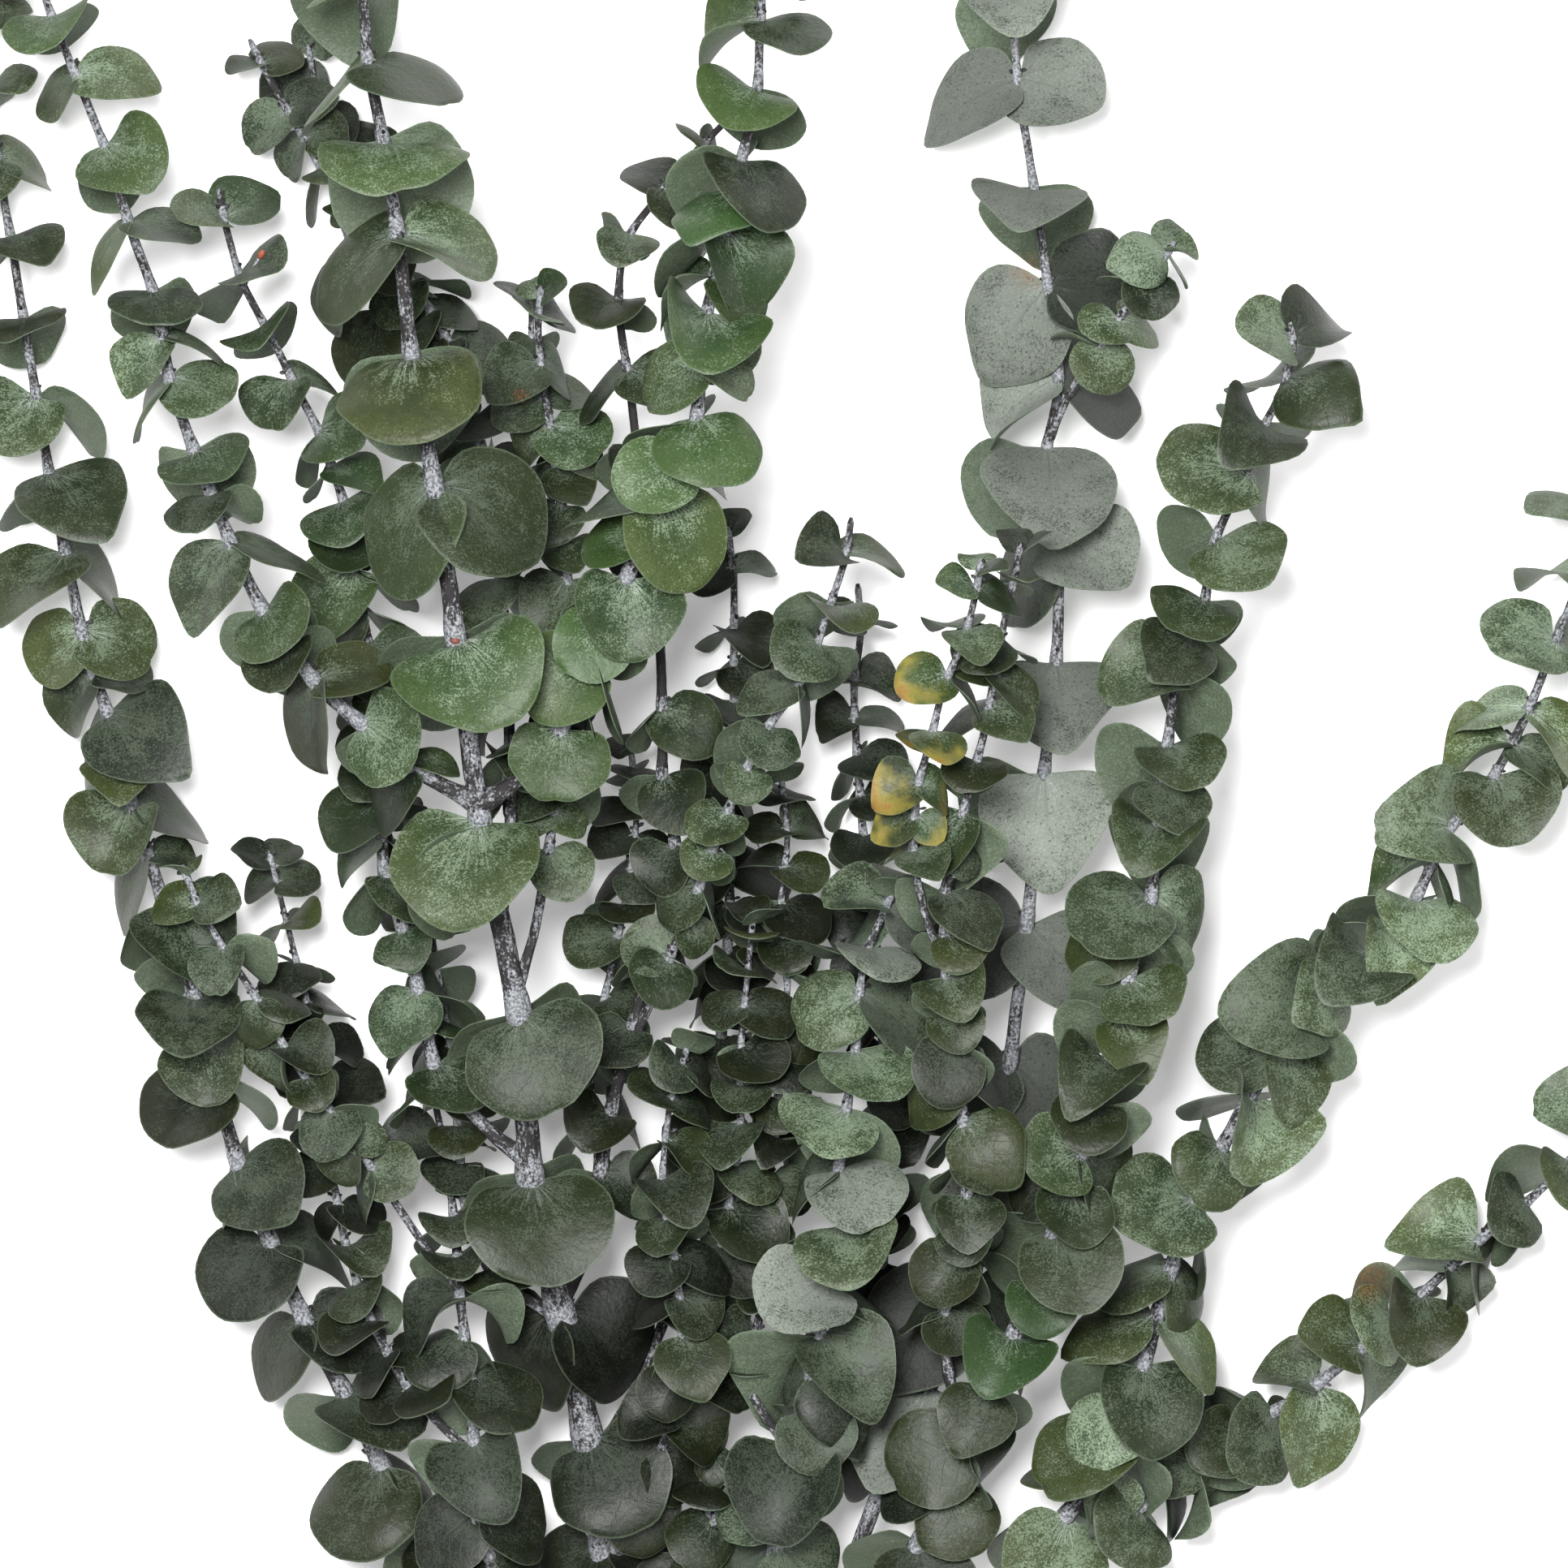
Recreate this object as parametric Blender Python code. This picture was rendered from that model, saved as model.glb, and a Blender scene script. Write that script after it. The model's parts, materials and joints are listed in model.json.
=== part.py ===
"""Eucalyptus branch with round leaves, cut and laid on its side.

Units are metres, with tables in millimetres where they say so. +Y is the growth direction,
+Z is up, and the floor is z = 0. A woody main stem carries the leafy shoots. Each shoot is
one solid: its stem, fused with the leaf pairs that grow from it.
"""

import math
import random
from dataclasses import dataclass, field

import bmesh
import bpy
from mathutils import Matrix, Vector
from mathutils.bvhtree import BVHTree

COLLECTION = "eucalyptus_branch"
MM = 0.001

# The point of the shoots' table, in millimetres, that lies at the origin.
ORIGIN = (5.5, -40.0)

# The main stem's thick end lies on the floor, with its axis this high.
REST_HEIGHT = 4.5 * MM

# Stems. A shoot's foot stands clear of its parent's bark by the gap.
GAP = 0.3 * MM
FORK_DEPTH = 1.8
STEM_SIDES = 4
MAIN_STEM_SIDES = 8
SEAT_SIDES = 8
GUARD_SIDES = 6

# Leaves. The young leaves at a tip are smaller, and stand up more.
LEAF_THICKNESS = 0.8 * MM
LEAF_SUNK = 0.5 * MM
LEAF_RISE = 3.0 * MM
LEAF_CLEARANCE = 0.4 * MM
MIDDLE_LEAF = 22 * MM
LARGE_LEAF = 40 * MM
YOUNG_POWER = 6
BROAD_BASE = 0.12
LIGHT_ROLL = math.radians(42)

# Ranges of the seeded draws: turn, droop and roll in degrees, then parts of a leaf's usual size.
TURN_SPREAD = 12
DROOP_SPREAD = 12
ROLL_SPREAD = 18
WIDTH_RANGE = (0.90, 1.08)
LENGTH_RANGE = (0.80, 0.96)
FOLD_RANGE = (0.06, 0.34)
CURL_RANGE = (0.02, 0.20)

# Ways to bend a leaf clear: added turn and droop in degrees, and sizes.
BEND_TURNS = (0, 14, -14, 28, -28, 45, -45, 65, -65)
BEND_DROOPS = (0, -14, 14, -28, 24, -45)
BEND_SIZES = (1.0, 0.88, 0.76, 0.62)
BEND_STEP = 14
SIZE_COST = 12
OWN_CLASH_COST = 5
MOST_DROOP = 155
FLOOR_STEP = math.radians(4)

# Mesh cleaning.
CAP_MERGE = 0.02 * MM
WELD = 0.001 * MM
FLAT_ANGLE = math.radians(1.0)

LEAF_GREEN = (0.165, 0.225, 0.125, 1.0)
LEAF_GREY = (0.330, 0.370, 0.300, 1.0)
LEAF_YELLOW = (0.420, 0.400, 0.130, 1.0)
LEAF_ROUGHNESS = 0.62


@dataclass
class Shoot:
    """A stem and its leaf pairs. Lengths are in millimetres and angles in degrees."""

    name: str
    parent: str
    route: list
    heights: tuple
    radii: tuple
    leaf: tuple
    phase: float
    bare: int = 1
    thin: int = 0
    droop: tuple = (128, 48)
    colour: tuple = LEAF_GREEN
    axis: list = field(default_factory=list)
    buried: float = 0.0

    @property
    def sides(self):
        return STEM_SIDES if self.parent else MAIN_STEM_SIDES

    def free_axis(self):
        """The axis from where it comes out of the parent's bark."""
        (start, radius), (ahead, _) = self.axis[:2]
        out = start + (ahead - start).normalized() * self.buried
        return [(out, radius)] + self.axis[1:]

    def fallen(self, k):
        """Whether the leaf pair of a point has dropped: every thin-th one has."""
        return self.thin > 0 and (k - self.bare) % self.thin == self.thin - 1

    def turns(self):
        """Turn of the leaf pair at each point of the route; bare points take the first pair's."""
        turns = []
        for k, point in enumerate(self.route):
            usual = self.phase
            if k > self.bare:
                usual = turns[-1] + (45 if self.fallen(k) or self.fallen(k - 1) else 90)
            turns.append(point[2] if len(point) > 2 else usual)
        return turns


# A route runs from the base, on the parent's axis, to the tip. Past its bare points, each point is a
# node with a leaf pair. A third number there is the pair's own turn round the stem, where 0 puts
# one leaf straight up; elsewhere each pair stands square to the one below. Where pairs have
# dropped, those left still go round the stem evenly.
SHOOTS = [
    Shoot(
        "main_stem", "",
        [(-34, -372), (-41, -340), (-45, -305), (-49, -268), (-53, -231, 100), (-58, -198, 15),
         (-66, -160, 95), (-75, -119, 0), (-78, -70, 20), (-89, -13, -15), (-96, 41, 10),
         (-102, 85, 85), (-109, 124, 0), (-113, 159, 75), (-117, 186, 10), (-122, 210, 60),
         (-124, 233, 0), (-127, 253, 80), (-130, 270, 20), (-132, 284, 90)],
        heights=(4.5, 4.5, 20, 46, 72, 88, 92, 84, 70), radii=(5.2, 1.2), leaf=(43, 16), phase=0,
        bare=4, droop=(134, 50),
    ),
    Shoot(
        "upper_right_shoot", "main_stem",
        [(-88, -6), (-77, 2), (-67, 14), (-57, 35), (-47, 58), (-38, 83, 75), (-26, 105, 30),
         (-23, 135, 5), (-18, 159, 70), (-13, 181, 35), (-8, 202, -10), (-7, 222, 60),
         (-6, 240), (-4, 256), (-2, 269), (-1, 279)],
        heights=(98, 80), radii=(2.4, 1.0), leaf=(31, 13), phase=40, bare=2, droop=(132, 50),
    ),
    Shoot(
        "upper_left_shoot", "main_stem",
        [(-91, -6), (-108, 4), (-122, 16, 5), (-136, 28), (-152, 49, 10), (-162, 69), (-173, 96, 5),
         (-181, 117, 60), (-186, 143, 0), (-194, 165, 85), (-201, 187, 20), (-210, 209, 70),
         (-217, 226, 0), (-223, 243), (-227, 258), (-230, 270)],
        heights=(82, 62, 40, 34), radii=(2.2, 1.0), leaf=(27, 12), phase=85, bare=1,
    ),
    Shoot(
        "left_shoot", "main_stem",
        [(-76, -112), (-85, -105), (-94, -96), (-103, -86), (-108, -63), (-112, -46), (-118, -29),
         (-120, -8), (-121, 15), (-123, 38), (-127, 61), (-130, 81), (-137, 102), (-145, 118),
         (-153, 134), (-161, 149), (-166, 166), (-168, 177)],
        heights=(50, 42), radii=(2.0, 1.0), leaf=(25, 12), phase=40, bare=3, thin=3,
    ),
    Shoot(
        "middle_lower_shoot", "main_stem",
        [(-45, -298), (-29, -273), (-15, -250), (-3, -229, 80), (3, -200, 0), (10, -165, 50),
         (12, -150), (17, -133, 10), (16, -116, 60), (18, -99), (21, -81, 15), (22, -65), (24, -51, 20),
         (29, -39), (33, -30)],
        heights=(56, 60), radii=(2.6, 1.0), leaf=(30, 14), phase=30, bare=3,
    ),
    Shoot(
        "right_shoot", "main_stem",
        [(-40, -338), (-14, -302), (13, -264), (39, -228), (53, -198), (67, -165), (79, -134),
         (87, -111), (95, -84), (101, -60), (108, -36), (110, -15), (113, 9), (116, 30), (124, 52),
         (127, 71), (136, 90), (142, 105), (148, 118), (151, 129), (150, 137)],
        heights=(68, 50), radii=(3.0, 1.0), leaf=(30, 13), phase=35, bare=3, thin=3,
    ),
    Shoot(
        "dark_right_shoot", "right_shoot",
        [(54, -192), (49, -176), (47, -158), (51, -142), (54, -124), (53, -102), (51, -79), (48, -60),
         (47, -34), (52, -11), (56, 4), (60, 20), (63, 39), (67, 57), (70, 71)],
        heights=(80, 76), radii=(1.8, 1.0), leaf=(23, 11), phase=50, bare=2, thin=3,
    ),
    Shoot(
        "yellow_shoot", "dark_right_shoot",
        [(48, -54), (42, -40), (38, -22), (39, -2), (43, 13), (47, 29), (53, 43), (56, 55), (58, 66)],
        heights=(88, 88), radii=(1.2, 1.0), leaf=(17, 10), phase=30, bare=2, droop=(115, 60),
        colour=LEAF_YELLOW,
    ),
    Shoot(
        "far_right_shoot", "right_shoot",
        [(-2, -285), (28, -268), (58, -245), (82, -220), (98, -198), (106, -175), (114, -147),
         (121, -126), (137, -95), (155, -69), (171, -53), (187, -36), (197, -15), (210, 0),
         (221, 20), (229, 40), (237, 60), (243, 79), (248, 96), (251, 110)],
        heights=(44, 38, 26), radii=(2.7, 1.0), leaf=(29, 13), phase=40, bare=3, thin=4,
    ),
    Shoot(
        "low_right_shoot", "far_right_shoot",
        [(60, -243), (81, -231), (104, -217), (121, -205), (144, -189), (157, -181), (171, -170),
         (188, -155), (206, -138), (220, -127), (233, -115), (244, -101), (253, -87), (259, -74)],
        heights=(24, 18), radii=(2.1, 1.0), leaf=(26, 13), phase=30, bare=2, thin=4,
    ),
    Shoot(
        "long_left_shoot", "main_stem",
        [(-43, -325), (-64, -290), (-88, -256), (-108, -226), (-119, -206), (-130, -184), (-142, -162),
         (-152, -139), (-162, -115), (-169, -92), (-175, -66), (-184, -38), (-194, -9), (-201, 18),
         (-209, 43), (-214, 66), (-219, 90), (-223, 113), (-227, 137), (-231, 162), (-235, 185),
         (-238, 206), (-241, 225), (-243, 241), (-244, 254)],
        heights=(30, 26, 18), radii=(2.9, 1.0), leaf=(29, 13), phase=35, bare=3, thin=4,
    ),
    Shoot(
        "lower_left_shoot", "main_stem",
        [(-46, -292), (-67, -266), (-83, -243), (-91, -219), (-92, -198), (-93, -179), (-96, -155),
         (-98, -131), (-101, -110), (-104, -95)],
        heights=(46, 32), radii=(2.4, 1.0), leaf=(29, 13), phase=20, bare=2, thin=4,
    ),
    Shoot(
        "left_twig", "lower_left_shoot",
        [(-96, -150), (-109, -134), (-121, -116), (-133, -99), (-147, -80), (-155, -66), (-165, -51),
         (-173, -38), (-179, -24)],
        heights=(48, 42), radii=(1.2, 1.0), leaf=(21, 11), phase=50, bare=2, thin=4,
    ),
    Shoot(
        "grey_shoot", "right_shoot",
        [(12, -262), (19, -238), (28, -212), (42, -182), (55, -152), (62, -120), (67, -85),
         (72, -44, 70), (77, 0, 20), (81, 34, 5), (82, 71, 60), (78, 97, 20), (82, 119, 70),
         (79, 146, 90), (75, 176, 0), (70, 208, 75), (68, 236, 5), (66, 258), (64, 275), (63, 287)],
        heights=(36, 32, 20), radii=(2.5, 1.0), leaf=(38, 16), phase=10, bare=3, droop=(130, 50),
        colour=LEAF_GREY,
    ),
    Shoot(
        "grey_side_shoot", "grey_shoot",
        [(80, 103), (85, 116), (93, 129), (98, 136), (106, 148), (112, 155), (116, 161)],
        heights=(42, 48), radii=(1.1, 1.0), leaf=(19, 11), phase=60, bare=2,
    ),
    Shoot(
        "dark_shoot", "main_stem",
        [(-65, -154), (-58, -138), (-55, -118), (-52, -100), (-46, -75), (-38, -50), (-32, -21),
         (-36, 0), (-36, 20), (-38, 72), (-43, 97), (-46, 120), (-49, 141), (-47, 160), (-37, 174),
         (-26, 187), (-17, 196)],
        heights=(52, 62), radii=(2.0, 1.0), leaf=(23, 10), phase=60, bare=2, thin=3,
    ),
    Shoot(
        "middle_shoot", "dark_shoot",
        [(-48, -84), (-42, -70), (-35, -54), (-26, -33), (-18, -11), (-6, 15), (3, 27), (9, 39),
         (13, 51), (18, 66), (20, 79)],
        heights=(64, 54), radii=(1.5, 1.0), leaf=(21, 11), phase=30, bare=2, thin=3,
    ),
    Shoot(
        "small_inner_shoot", "main_stem",
        [(-79, -62), (-74, -45), (-70, -22), (-67, 0), (-64, 20), (-63, 38), (-64, 58), (-66, 80),
         (-69, 104), (-72, 122), (-73, 136), (-72, 148)],
        heights=(48, 46), radii=(1.5, 1.0), leaf=(20, 10), phase=50, bare=2, thin=3,
    ),
    Shoot(
        "back_left_shoot", "main_stem",
        [(-84, -38), (-81, -18), (-81, 6), (-82, 32), (-84, 58), (-87, 84), (-92, 108), (-99, 130),
         (-110, 148), (-124, 165), (-137, 182), (-147, 199), (-155, 213), (-160, 223)],
        heights=(24, 18), radii=(1.8, 1.0), leaf=(23, 12), phase=35, bare=2, thin=2,
    ),
    Shoot(
        "back_middle_shoot", "main_stem",
        [(-57, -204), (-45, -182), (-35, -158), (-27, -130), (-22, -104), (-19, -78), (-17, -52),
         (-16, -26), (-16, 0), (-15, 22), (-15, 44), (-15, 62), (-17, 77)],
        heights=(22, 18), radii=(1.8, 1.0), leaf=(24, 12), phase=45, bare=2, thin=2,
    ),
    Shoot(
        "back_right_shoot", "middle_lower_shoot",
        [(-14, -248), (4, -225), (17, -198), (25, -172), (29, -146), (31, -120), (31, -94), (29, -68),
         (27, -42), (24, -18), (22, 6), (21, 28), (23, 46), (22, 60)],
        heights=(20, 18), radii=(1.8, 1.0), leaf=(23, 12), phase=40, bare=2, thin=2,
    ),
]


@dataclass
class Leaf:
    """A round leaf on its stem: u runs from root to tip, v across, and w out of the upper side."""

    root: Vector
    u: Vector
    v: Vector
    w: Vector
    width: float
    length: float
    fold: float
    curl: float

    def surface(self, angle, reach):
        """Point of the middle sheet at an angle round the leaf and a part of the way to its edge."""
        along = self.length * (0.5 + 0.5 * reach * math.cos(angle))
        across = 0.5 * self.width * reach * math.sin(angle) * (1 - BROAD_BASE * math.cos(angle))
        lift = abs(across) * self.fold - self.curl * along * along / self.length
        return self.root + self.u * along + self.v * across + self.w * lift

    def corners(self, spare=0.0):
        """Corners of the coarse leaf: the ring of its under side, then the ring of its upper side."""
        sides = 5 + (self.width > MIDDLE_LEAF) + 2 * (self.width > LARGE_LEAF)
        reach = 1 / math.cos(math.pi / sides) ** 0.5 + 2 * spare / self.width
        ring = [self.surface(math.pi + math.tau * k / sides, reach) for k in range(1, sides)]
        ring.insert(0, self.surface(math.pi, 1.0))
        half = self.w * (0.5 * LEAF_THICKNESS + spare)
        return [point - half for point in ring] + [point + half for point in ring]

    def swung(self, angle, hinge):
        """The same leaf, swung about a line through its root."""
        turn = Matrix.Rotation(angle, 3, hinge)
        return Leaf(self.root, turn @ self.u, turn @ self.v, turn @ self.w,
                    self.width, self.length, self.fold, self.curl)


def leaf_faces(sides):
    """Faces of a coarse leaf. One triangle reaches the root, and the rest fan out from the tip."""
    tip = sides // 2
    fan = [(tip, k, k + 1) for k in range(1, sides - 1) if tip not in (k, k + 1)]
    sheet = [(0, 1, sides - 1), (tip, sides - 1, 1)] + fan
    under = [(a, c, b) for a, b, c in sheet]
    upper = [(a + sides, b + sides, c + sides) for a, b, c in sheet]
    rim = [(k, (k + 1) % sides, (k + 1) % sides + sides, k + sides) for k in range(sides)]
    return under + upper + rim


def catmull(values, s):
    """Smooth curve through evenly spaced values, at s from 0 to 1."""
    last = len(values) - 1
    k = min(int(s * last), last - 1)
    t = s * last - k
    a = values[max(k - 1, 0)]
    b, c = values[k], values[k + 1]
    d = values[min(k + 2, last)]
    return b + 0.5 * t * (c - a + t * (2 * a - 5 * b + 4 * c - d + t * (3 * (b - c) + d - a)))


def nearest_on(axis, x, y):
    """Point of an axis, seen from above, that lies nearest to x, y, with its radius."""
    best = None
    for (p, radius), (q, _) in zip(axis, axis[1:]):
        run = q - p
        flat = run.x * run.x + run.y * run.y
        t = ((x - p.x) * run.x + (y - p.y) * run.y) / flat
        t = min(max(t, 0.0), 1.0)
        point = p + run * t
        far = math.hypot(x - point.x, y - point.y)
        if best is None or far < best[0]:
            best = (far, point, radius)
    return best[1], best[2]


def lay_axis(shoot, shoots):
    """Points and radii of a stem's axis, from the route seen from above and the heights along it."""
    flat = [((p[0] - ORIGIN[0]) * MM, (p[1] - ORIGIN[1]) * MM) for p in shoot.route]
    heights = [h * MM for h in shoot.heights]
    if shoot.parent:
        base, parent_radius = nearest_on(shoots[shoot.parent].axis, *flat[0])
        shoot.buried = FORK_DEPTH * parent_radius
        flat[0] = (base.x, base.y)
        heights.insert(0, base.z)
    runs = [0.0]
    for p, q in zip(flat, flat[1:]):
        runs.append(runs[-1] + math.dist(p, q))
    thick, thin = (r * MM for r in shoot.radii)
    for (x, y), run in zip(flat, runs):
        s = run / runs[-1]
        z = max(catmull(heights, s), REST_HEIGHT)
        shoot.axis.append((Vector((x, y, z)), thick + (thin - thick) * s))


def tube_points(axis):
    """Rings of points round an axis, for telling what comes too near a stem."""
    points = []
    count = len(axis)
    for k, (centre, radius) in enumerate(axis):
        ahead = axis[min(k + 1, count - 1)][0] - axis[max(k - 1, 0)][0]
        side = ahead.cross(Vector((0, 0, 1))).normalized()
        rise = side.cross(ahead).normalized()
        for n in range(GUARD_SIDES):
            angle = math.tau * n / GUARD_SIDES
            points.append(centre + (side * math.cos(angle) + rise * math.sin(angle)) * radius)
    return points


def tube_faces(count):
    """Faces between the rings of tube_points."""
    faces = []
    for k in range(count - 1):
        for n in range(GUARD_SIDES):
            m = (n + 1) % GUARD_SIDES
            low, high = k * GUARD_SIDES, (k + 1) * GUARD_SIDES
            faces.append((low + n, low + m, high + m, high + n))
    return faces


class Space:
    """The stems and leaves that stand already."""

    def __init__(self):
        self.items = []

    def add(self, owner, points, faces):
        low = [min(p[i] for p in points) for i in range(3)]
        high = [max(p[i] for p in points) for i in range(3)]
        self.items.append((owner, low, high, BVHTree.FromPolygons(points, faces)))

    def clashes(self, points, faces):
        """Owners of what the given solid would cut."""
        low = [min(p[i] for p in points) for i in range(3)]
        high = [max(p[i] for p in points) for i in range(3)]
        tree = None
        owners = set()
        for owner, other_low, other_high, other in self.items:
            if any(low[i] > other_high[i] or high[i] < other_low[i] for i in range(3)):
                continue
            if tree is None:
                tree = BVHTree.FromPolygons(points, faces)
            if owner not in owners and tree.overlap(other):
                owners.add(owner)
        return owners


def bends():
    """Ways to bend a leaf clear, as cost, turn, droop and size, the slightest first."""
    ways = []
    for turn in BEND_TURNS:
        for droop in BEND_DROOPS:
            for size in BEND_SIZES:
                cost = (abs(turn) + abs(droop)) / BEND_STEP + (1 - size) * SIZE_COST
                ways.append((cost, turn, droop, size))
    return sorted(ways)


def rest_on_floor(leaf):
    """The leaf as it is, or bent up by its lowest corner until that corner lies on the floor."""
    lowest = min(leaf.corners(), key=lambda p: p.z)
    step = FLOOR_STEP
    while lowest.z < 0 or step > FLOOR_STEP / 64:
        if lowest.z >= 0 and step == FLOOR_STEP:
            return leaf
        reach = lowest - leaf.root
        hinge = reach.cross(Vector((0, 0, 1))).normalized()
        if lowest.z < 0:
            leaf = leaf.swung(step, hinge)
        else:
            step *= 0.5
            leaf = leaf.swung(-step, hinge)
        lowest = min(leaf.corners(), key=lambda p: p.z)
    return leaf


def leaf_at(point, depth, along, turn, droop, roll, width, shape):
    """A leaf at a node: along is the growth direction, and turn and droop say where it points.

    A leaf beside the stem rolls its upper side to the light above.
    """
    top = Vector((0, 0, 1))
    ahead = (top - along * along.dot(top)).normalized()
    side = along.cross(ahead)
    out = ahead * math.cos(turn) + side * math.sin(turn)
    u = along * math.cos(droop) + out * math.sin(droop)
    w = (along - u * along.dot(u)).normalized()
    v = w.cross(u)
    tilt = Matrix.Rotation(roll - LIGHT_ROLL * v.z, 3, u)
    root = point + out * max(0.0, depth - LEAF_SUNK)
    ratio, fold, curl = shape
    return rest_on_floor(Leaf(root, u, tilt @ v, tilt @ w, width, width * ratio, fold, curl))


def grow_leaves(shoot, number, space):
    """Leaf pairs of a shoot, each leaf bent clear of every other shoot, and of its own if it can."""
    draw = random.Random(number)
    last = len(shoot.route) - 1
    turns = shoot.turns()
    leaves = []
    for here in range(shoot.bare, last + 1):
        if shoot.fallen(here):
            continue
        point, radius = shoot.axis[here]
        depth = radius * math.cos(math.pi / shoot.sides)
        if here < last:
            along = (shoot.axis[here + 1][0] - point).normalized()
            point = point + along * LEAF_RISE
        else:
            along = (point - shoot.axis[here - 1][0]).normalized()
            point = point - along * LEAF_RISE
        s = (here - shoot.bare) / (last - shoot.bare)
        young = s ** YOUNG_POWER
        width = (shoot.leaf[0] + (shoot.leaf[1] - shoot.leaf[0]) * young) * MM
        droop = shoot.droop[0] + (shoot.droop[1] - shoot.droop[0]) * young
        for side in (0, 180):
            own_turn = turns[here] + side + draw.uniform(-TURN_SPREAD, TURN_SPREAD)
            own_droop = droop + draw.uniform(-DROOP_SPREAD, DROOP_SPREAD)
            roll = math.radians(draw.uniform(-ROLL_SPREAD, ROLL_SPREAD))
            own_width = width * draw.uniform(*WIDTH_RANGE)
            shape = (draw.uniform(*LENGTH_RANGE), draw.uniform(*FOLD_RANGE), draw.uniform(*CURL_RANGE))
            leaf = bent_clear(shoot.name, space, point, depth, along, own_turn, own_droop, roll,
                              own_width, shape)
            if leaf:
                leaves.append(leaf)
        for leaf in leaves[-2:]:
            corners = leaf.corners()
            space.add(shoot.name, corners, leaf_faces(len(corners) // 2))
    return leaves


def bent_clear(name, space, point, depth, along, turn, droop, roll, width, shape):
    """The slightest bend that keeps a leaf clear, or nothing where there is no room."""
    own_only = None
    for cost, more_turn, more_droop, size in bends():
        if own_only and cost > OWN_CLASH_COST:
            return own_only
        leaf = leaf_at(point, depth, along, math.radians(turn + more_turn),
                       math.radians(min(droop + more_droop, MOST_DROOP)), roll, width * size, shape)
        corners = leaf.corners(LEAF_CLEARANCE)
        met = space.clashes(corners, leaf_faces(len(corners) // 2))
        if not met:
            return leaf
        if met == {name} and own_only is None:
            own_only = leaf
    return own_only


def grow():
    """All shoots by name with their axes laid, and the leaves of each."""
    shoots = {shoot.name: shoot for shoot in SHOOTS}
    for shoot in SHOOTS:
        lay_axis(shoot, shoots)
    leaves = {}
    for number, shoot in enumerate(SHOOTS):
        space = Space()
        for other in SHOOTS:
            if other is not shoot:
                axis = other.free_axis()
                space.add(other.name, tube_points(axis), tube_faces(len(axis)))
        for name, grown in leaves.items():
            for leaf in grown:
                corners = leaf.corners()
                space.add(name, corners, leaf_faces(len(corners) // 2))
        leaves[shoot.name] = grow_leaves(shoot, number, space)
    return shoots, leaves


def clear_scene():
    for thing in list(bpy.data.objects):
        bpy.data.objects.remove(thing, do_unlink=True)


def new_collection(name):
    collection = bpy.data.collections.new(name)
    bpy.context.scene.collection.children.link(collection)
    return collection


def evaluated_mesh(thing):
    """A new mesh of an object as its modifiers or its curve make it."""
    graph = bpy.context.evaluated_depsgraph_get()
    graph.update()
    return bpy.data.meshes.new_from_object(thing.evaluated_get(graph))


def stem_object(shoot, collection, seat=False):
    """A stem as a bevelled curve with closed ends, its flats turned to its leaf pairs, as a mesh.

    As a seat it goes round the stem with a gap, to cut the foot of a shoot that grows from it.
    """
    sides = SEAT_SIDES if seat else shoot.sides
    name = shoot.name + "_seat" if seat else shoot.name
    curve = bpy.data.curves.new(name + "_axis", "CURVE")
    curve.dimensions = "3D"
    curve.twist_mode = "Z_UP"
    curve.bevel_depth = 1.0
    curve.bevel_resolution = (sides - 4) // 2
    curve.use_fill_caps = True
    spline = curve.splines.new("POLY")
    spline.points.add(len(shoot.axis) - 1)
    flat = 360 / sides
    tilt = flat / 2
    for point, (place, radius), turn in zip(spline.points, shoot.axis, shoot.turns()):
        if not seat:
            tilt += (turn - tilt) % flat - flat / 2
        point.co = (*place, 1.0)
        point.radius = (radius + GAP) / math.cos(math.pi / sides) if seat else radius
        point.tilt = math.radians(tilt)
    thing = bpy.data.objects.new(name + "_axis", curve)
    collection.objects.link(thing)
    mesh = evaluated_mesh(thing)
    bpy.data.objects.remove(thing, do_unlink=True)
    bpy.data.curves.remove(curve)
    form = bmesh.new()
    form.from_mesh(mesh)
    bmesh.ops.remove_doubles(form, verts=form.verts, dist=CAP_MERGE)
    bmesh.ops.recalc_face_normals(form, faces=form.faces)
    form.to_mesh(mesh)
    form.free()
    stem = bpy.data.objects.new(name, mesh)
    collection.objects.link(stem)
    return stem


def cut_rest_spot(stem):
    """Cut the main stem's under side flat on the floor, where its thick end lies."""
    form = bmesh.new()
    form.from_mesh(stem.data)
    parts = form.verts[:] + form.edges[:] + form.faces[:]
    cut = bmesh.ops.bisect_plane(form, geom=parts, dist=0.000001, plane_co=(0, 0, 0),
                                 plane_no=(0, 0, 1), clear_inner=True)
    edges = [part for part in cut["geom_cut"] if isinstance(part, bmesh.types.BMEdge)]
    bmesh.ops.edgenet_fill(form, edges=edges)
    bmesh.ops.recalc_face_normals(form, faces=form.faces)
    form.to_mesh(stem.data)
    form.free()


def apply_boolean(thing, operation, solver, operand=None, collection=None):
    """Apply one Boolean with an object, or with all objects of a collection."""
    step = thing.modifiers.new(operation.lower(), "BOOLEAN")
    step.operation = operation
    step.solver = solver
    if collection:
        step.operand_type = "COLLECTION"
        step.collection = collection
    else:
        step.object = operand
    mesh = evaluated_mesh(thing)
    thing.modifiers.remove(step)
    return mesh


def loose_scraps(form):
    """Faces of every piece of a mesh but the largest."""
    left = set(form.faces)
    pieces = []
    while left:
        piece = [left.pop()]
        for face in piece:
            for edge in face.edges:
                for other in edge.link_faces:
                    if other in left:
                        left.remove(other)
                        piece.append(other)
        pieces.append(piece)
    pieces.sort(key=len)
    return [face for piece in pieces[:-1] for face in piece]


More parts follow.
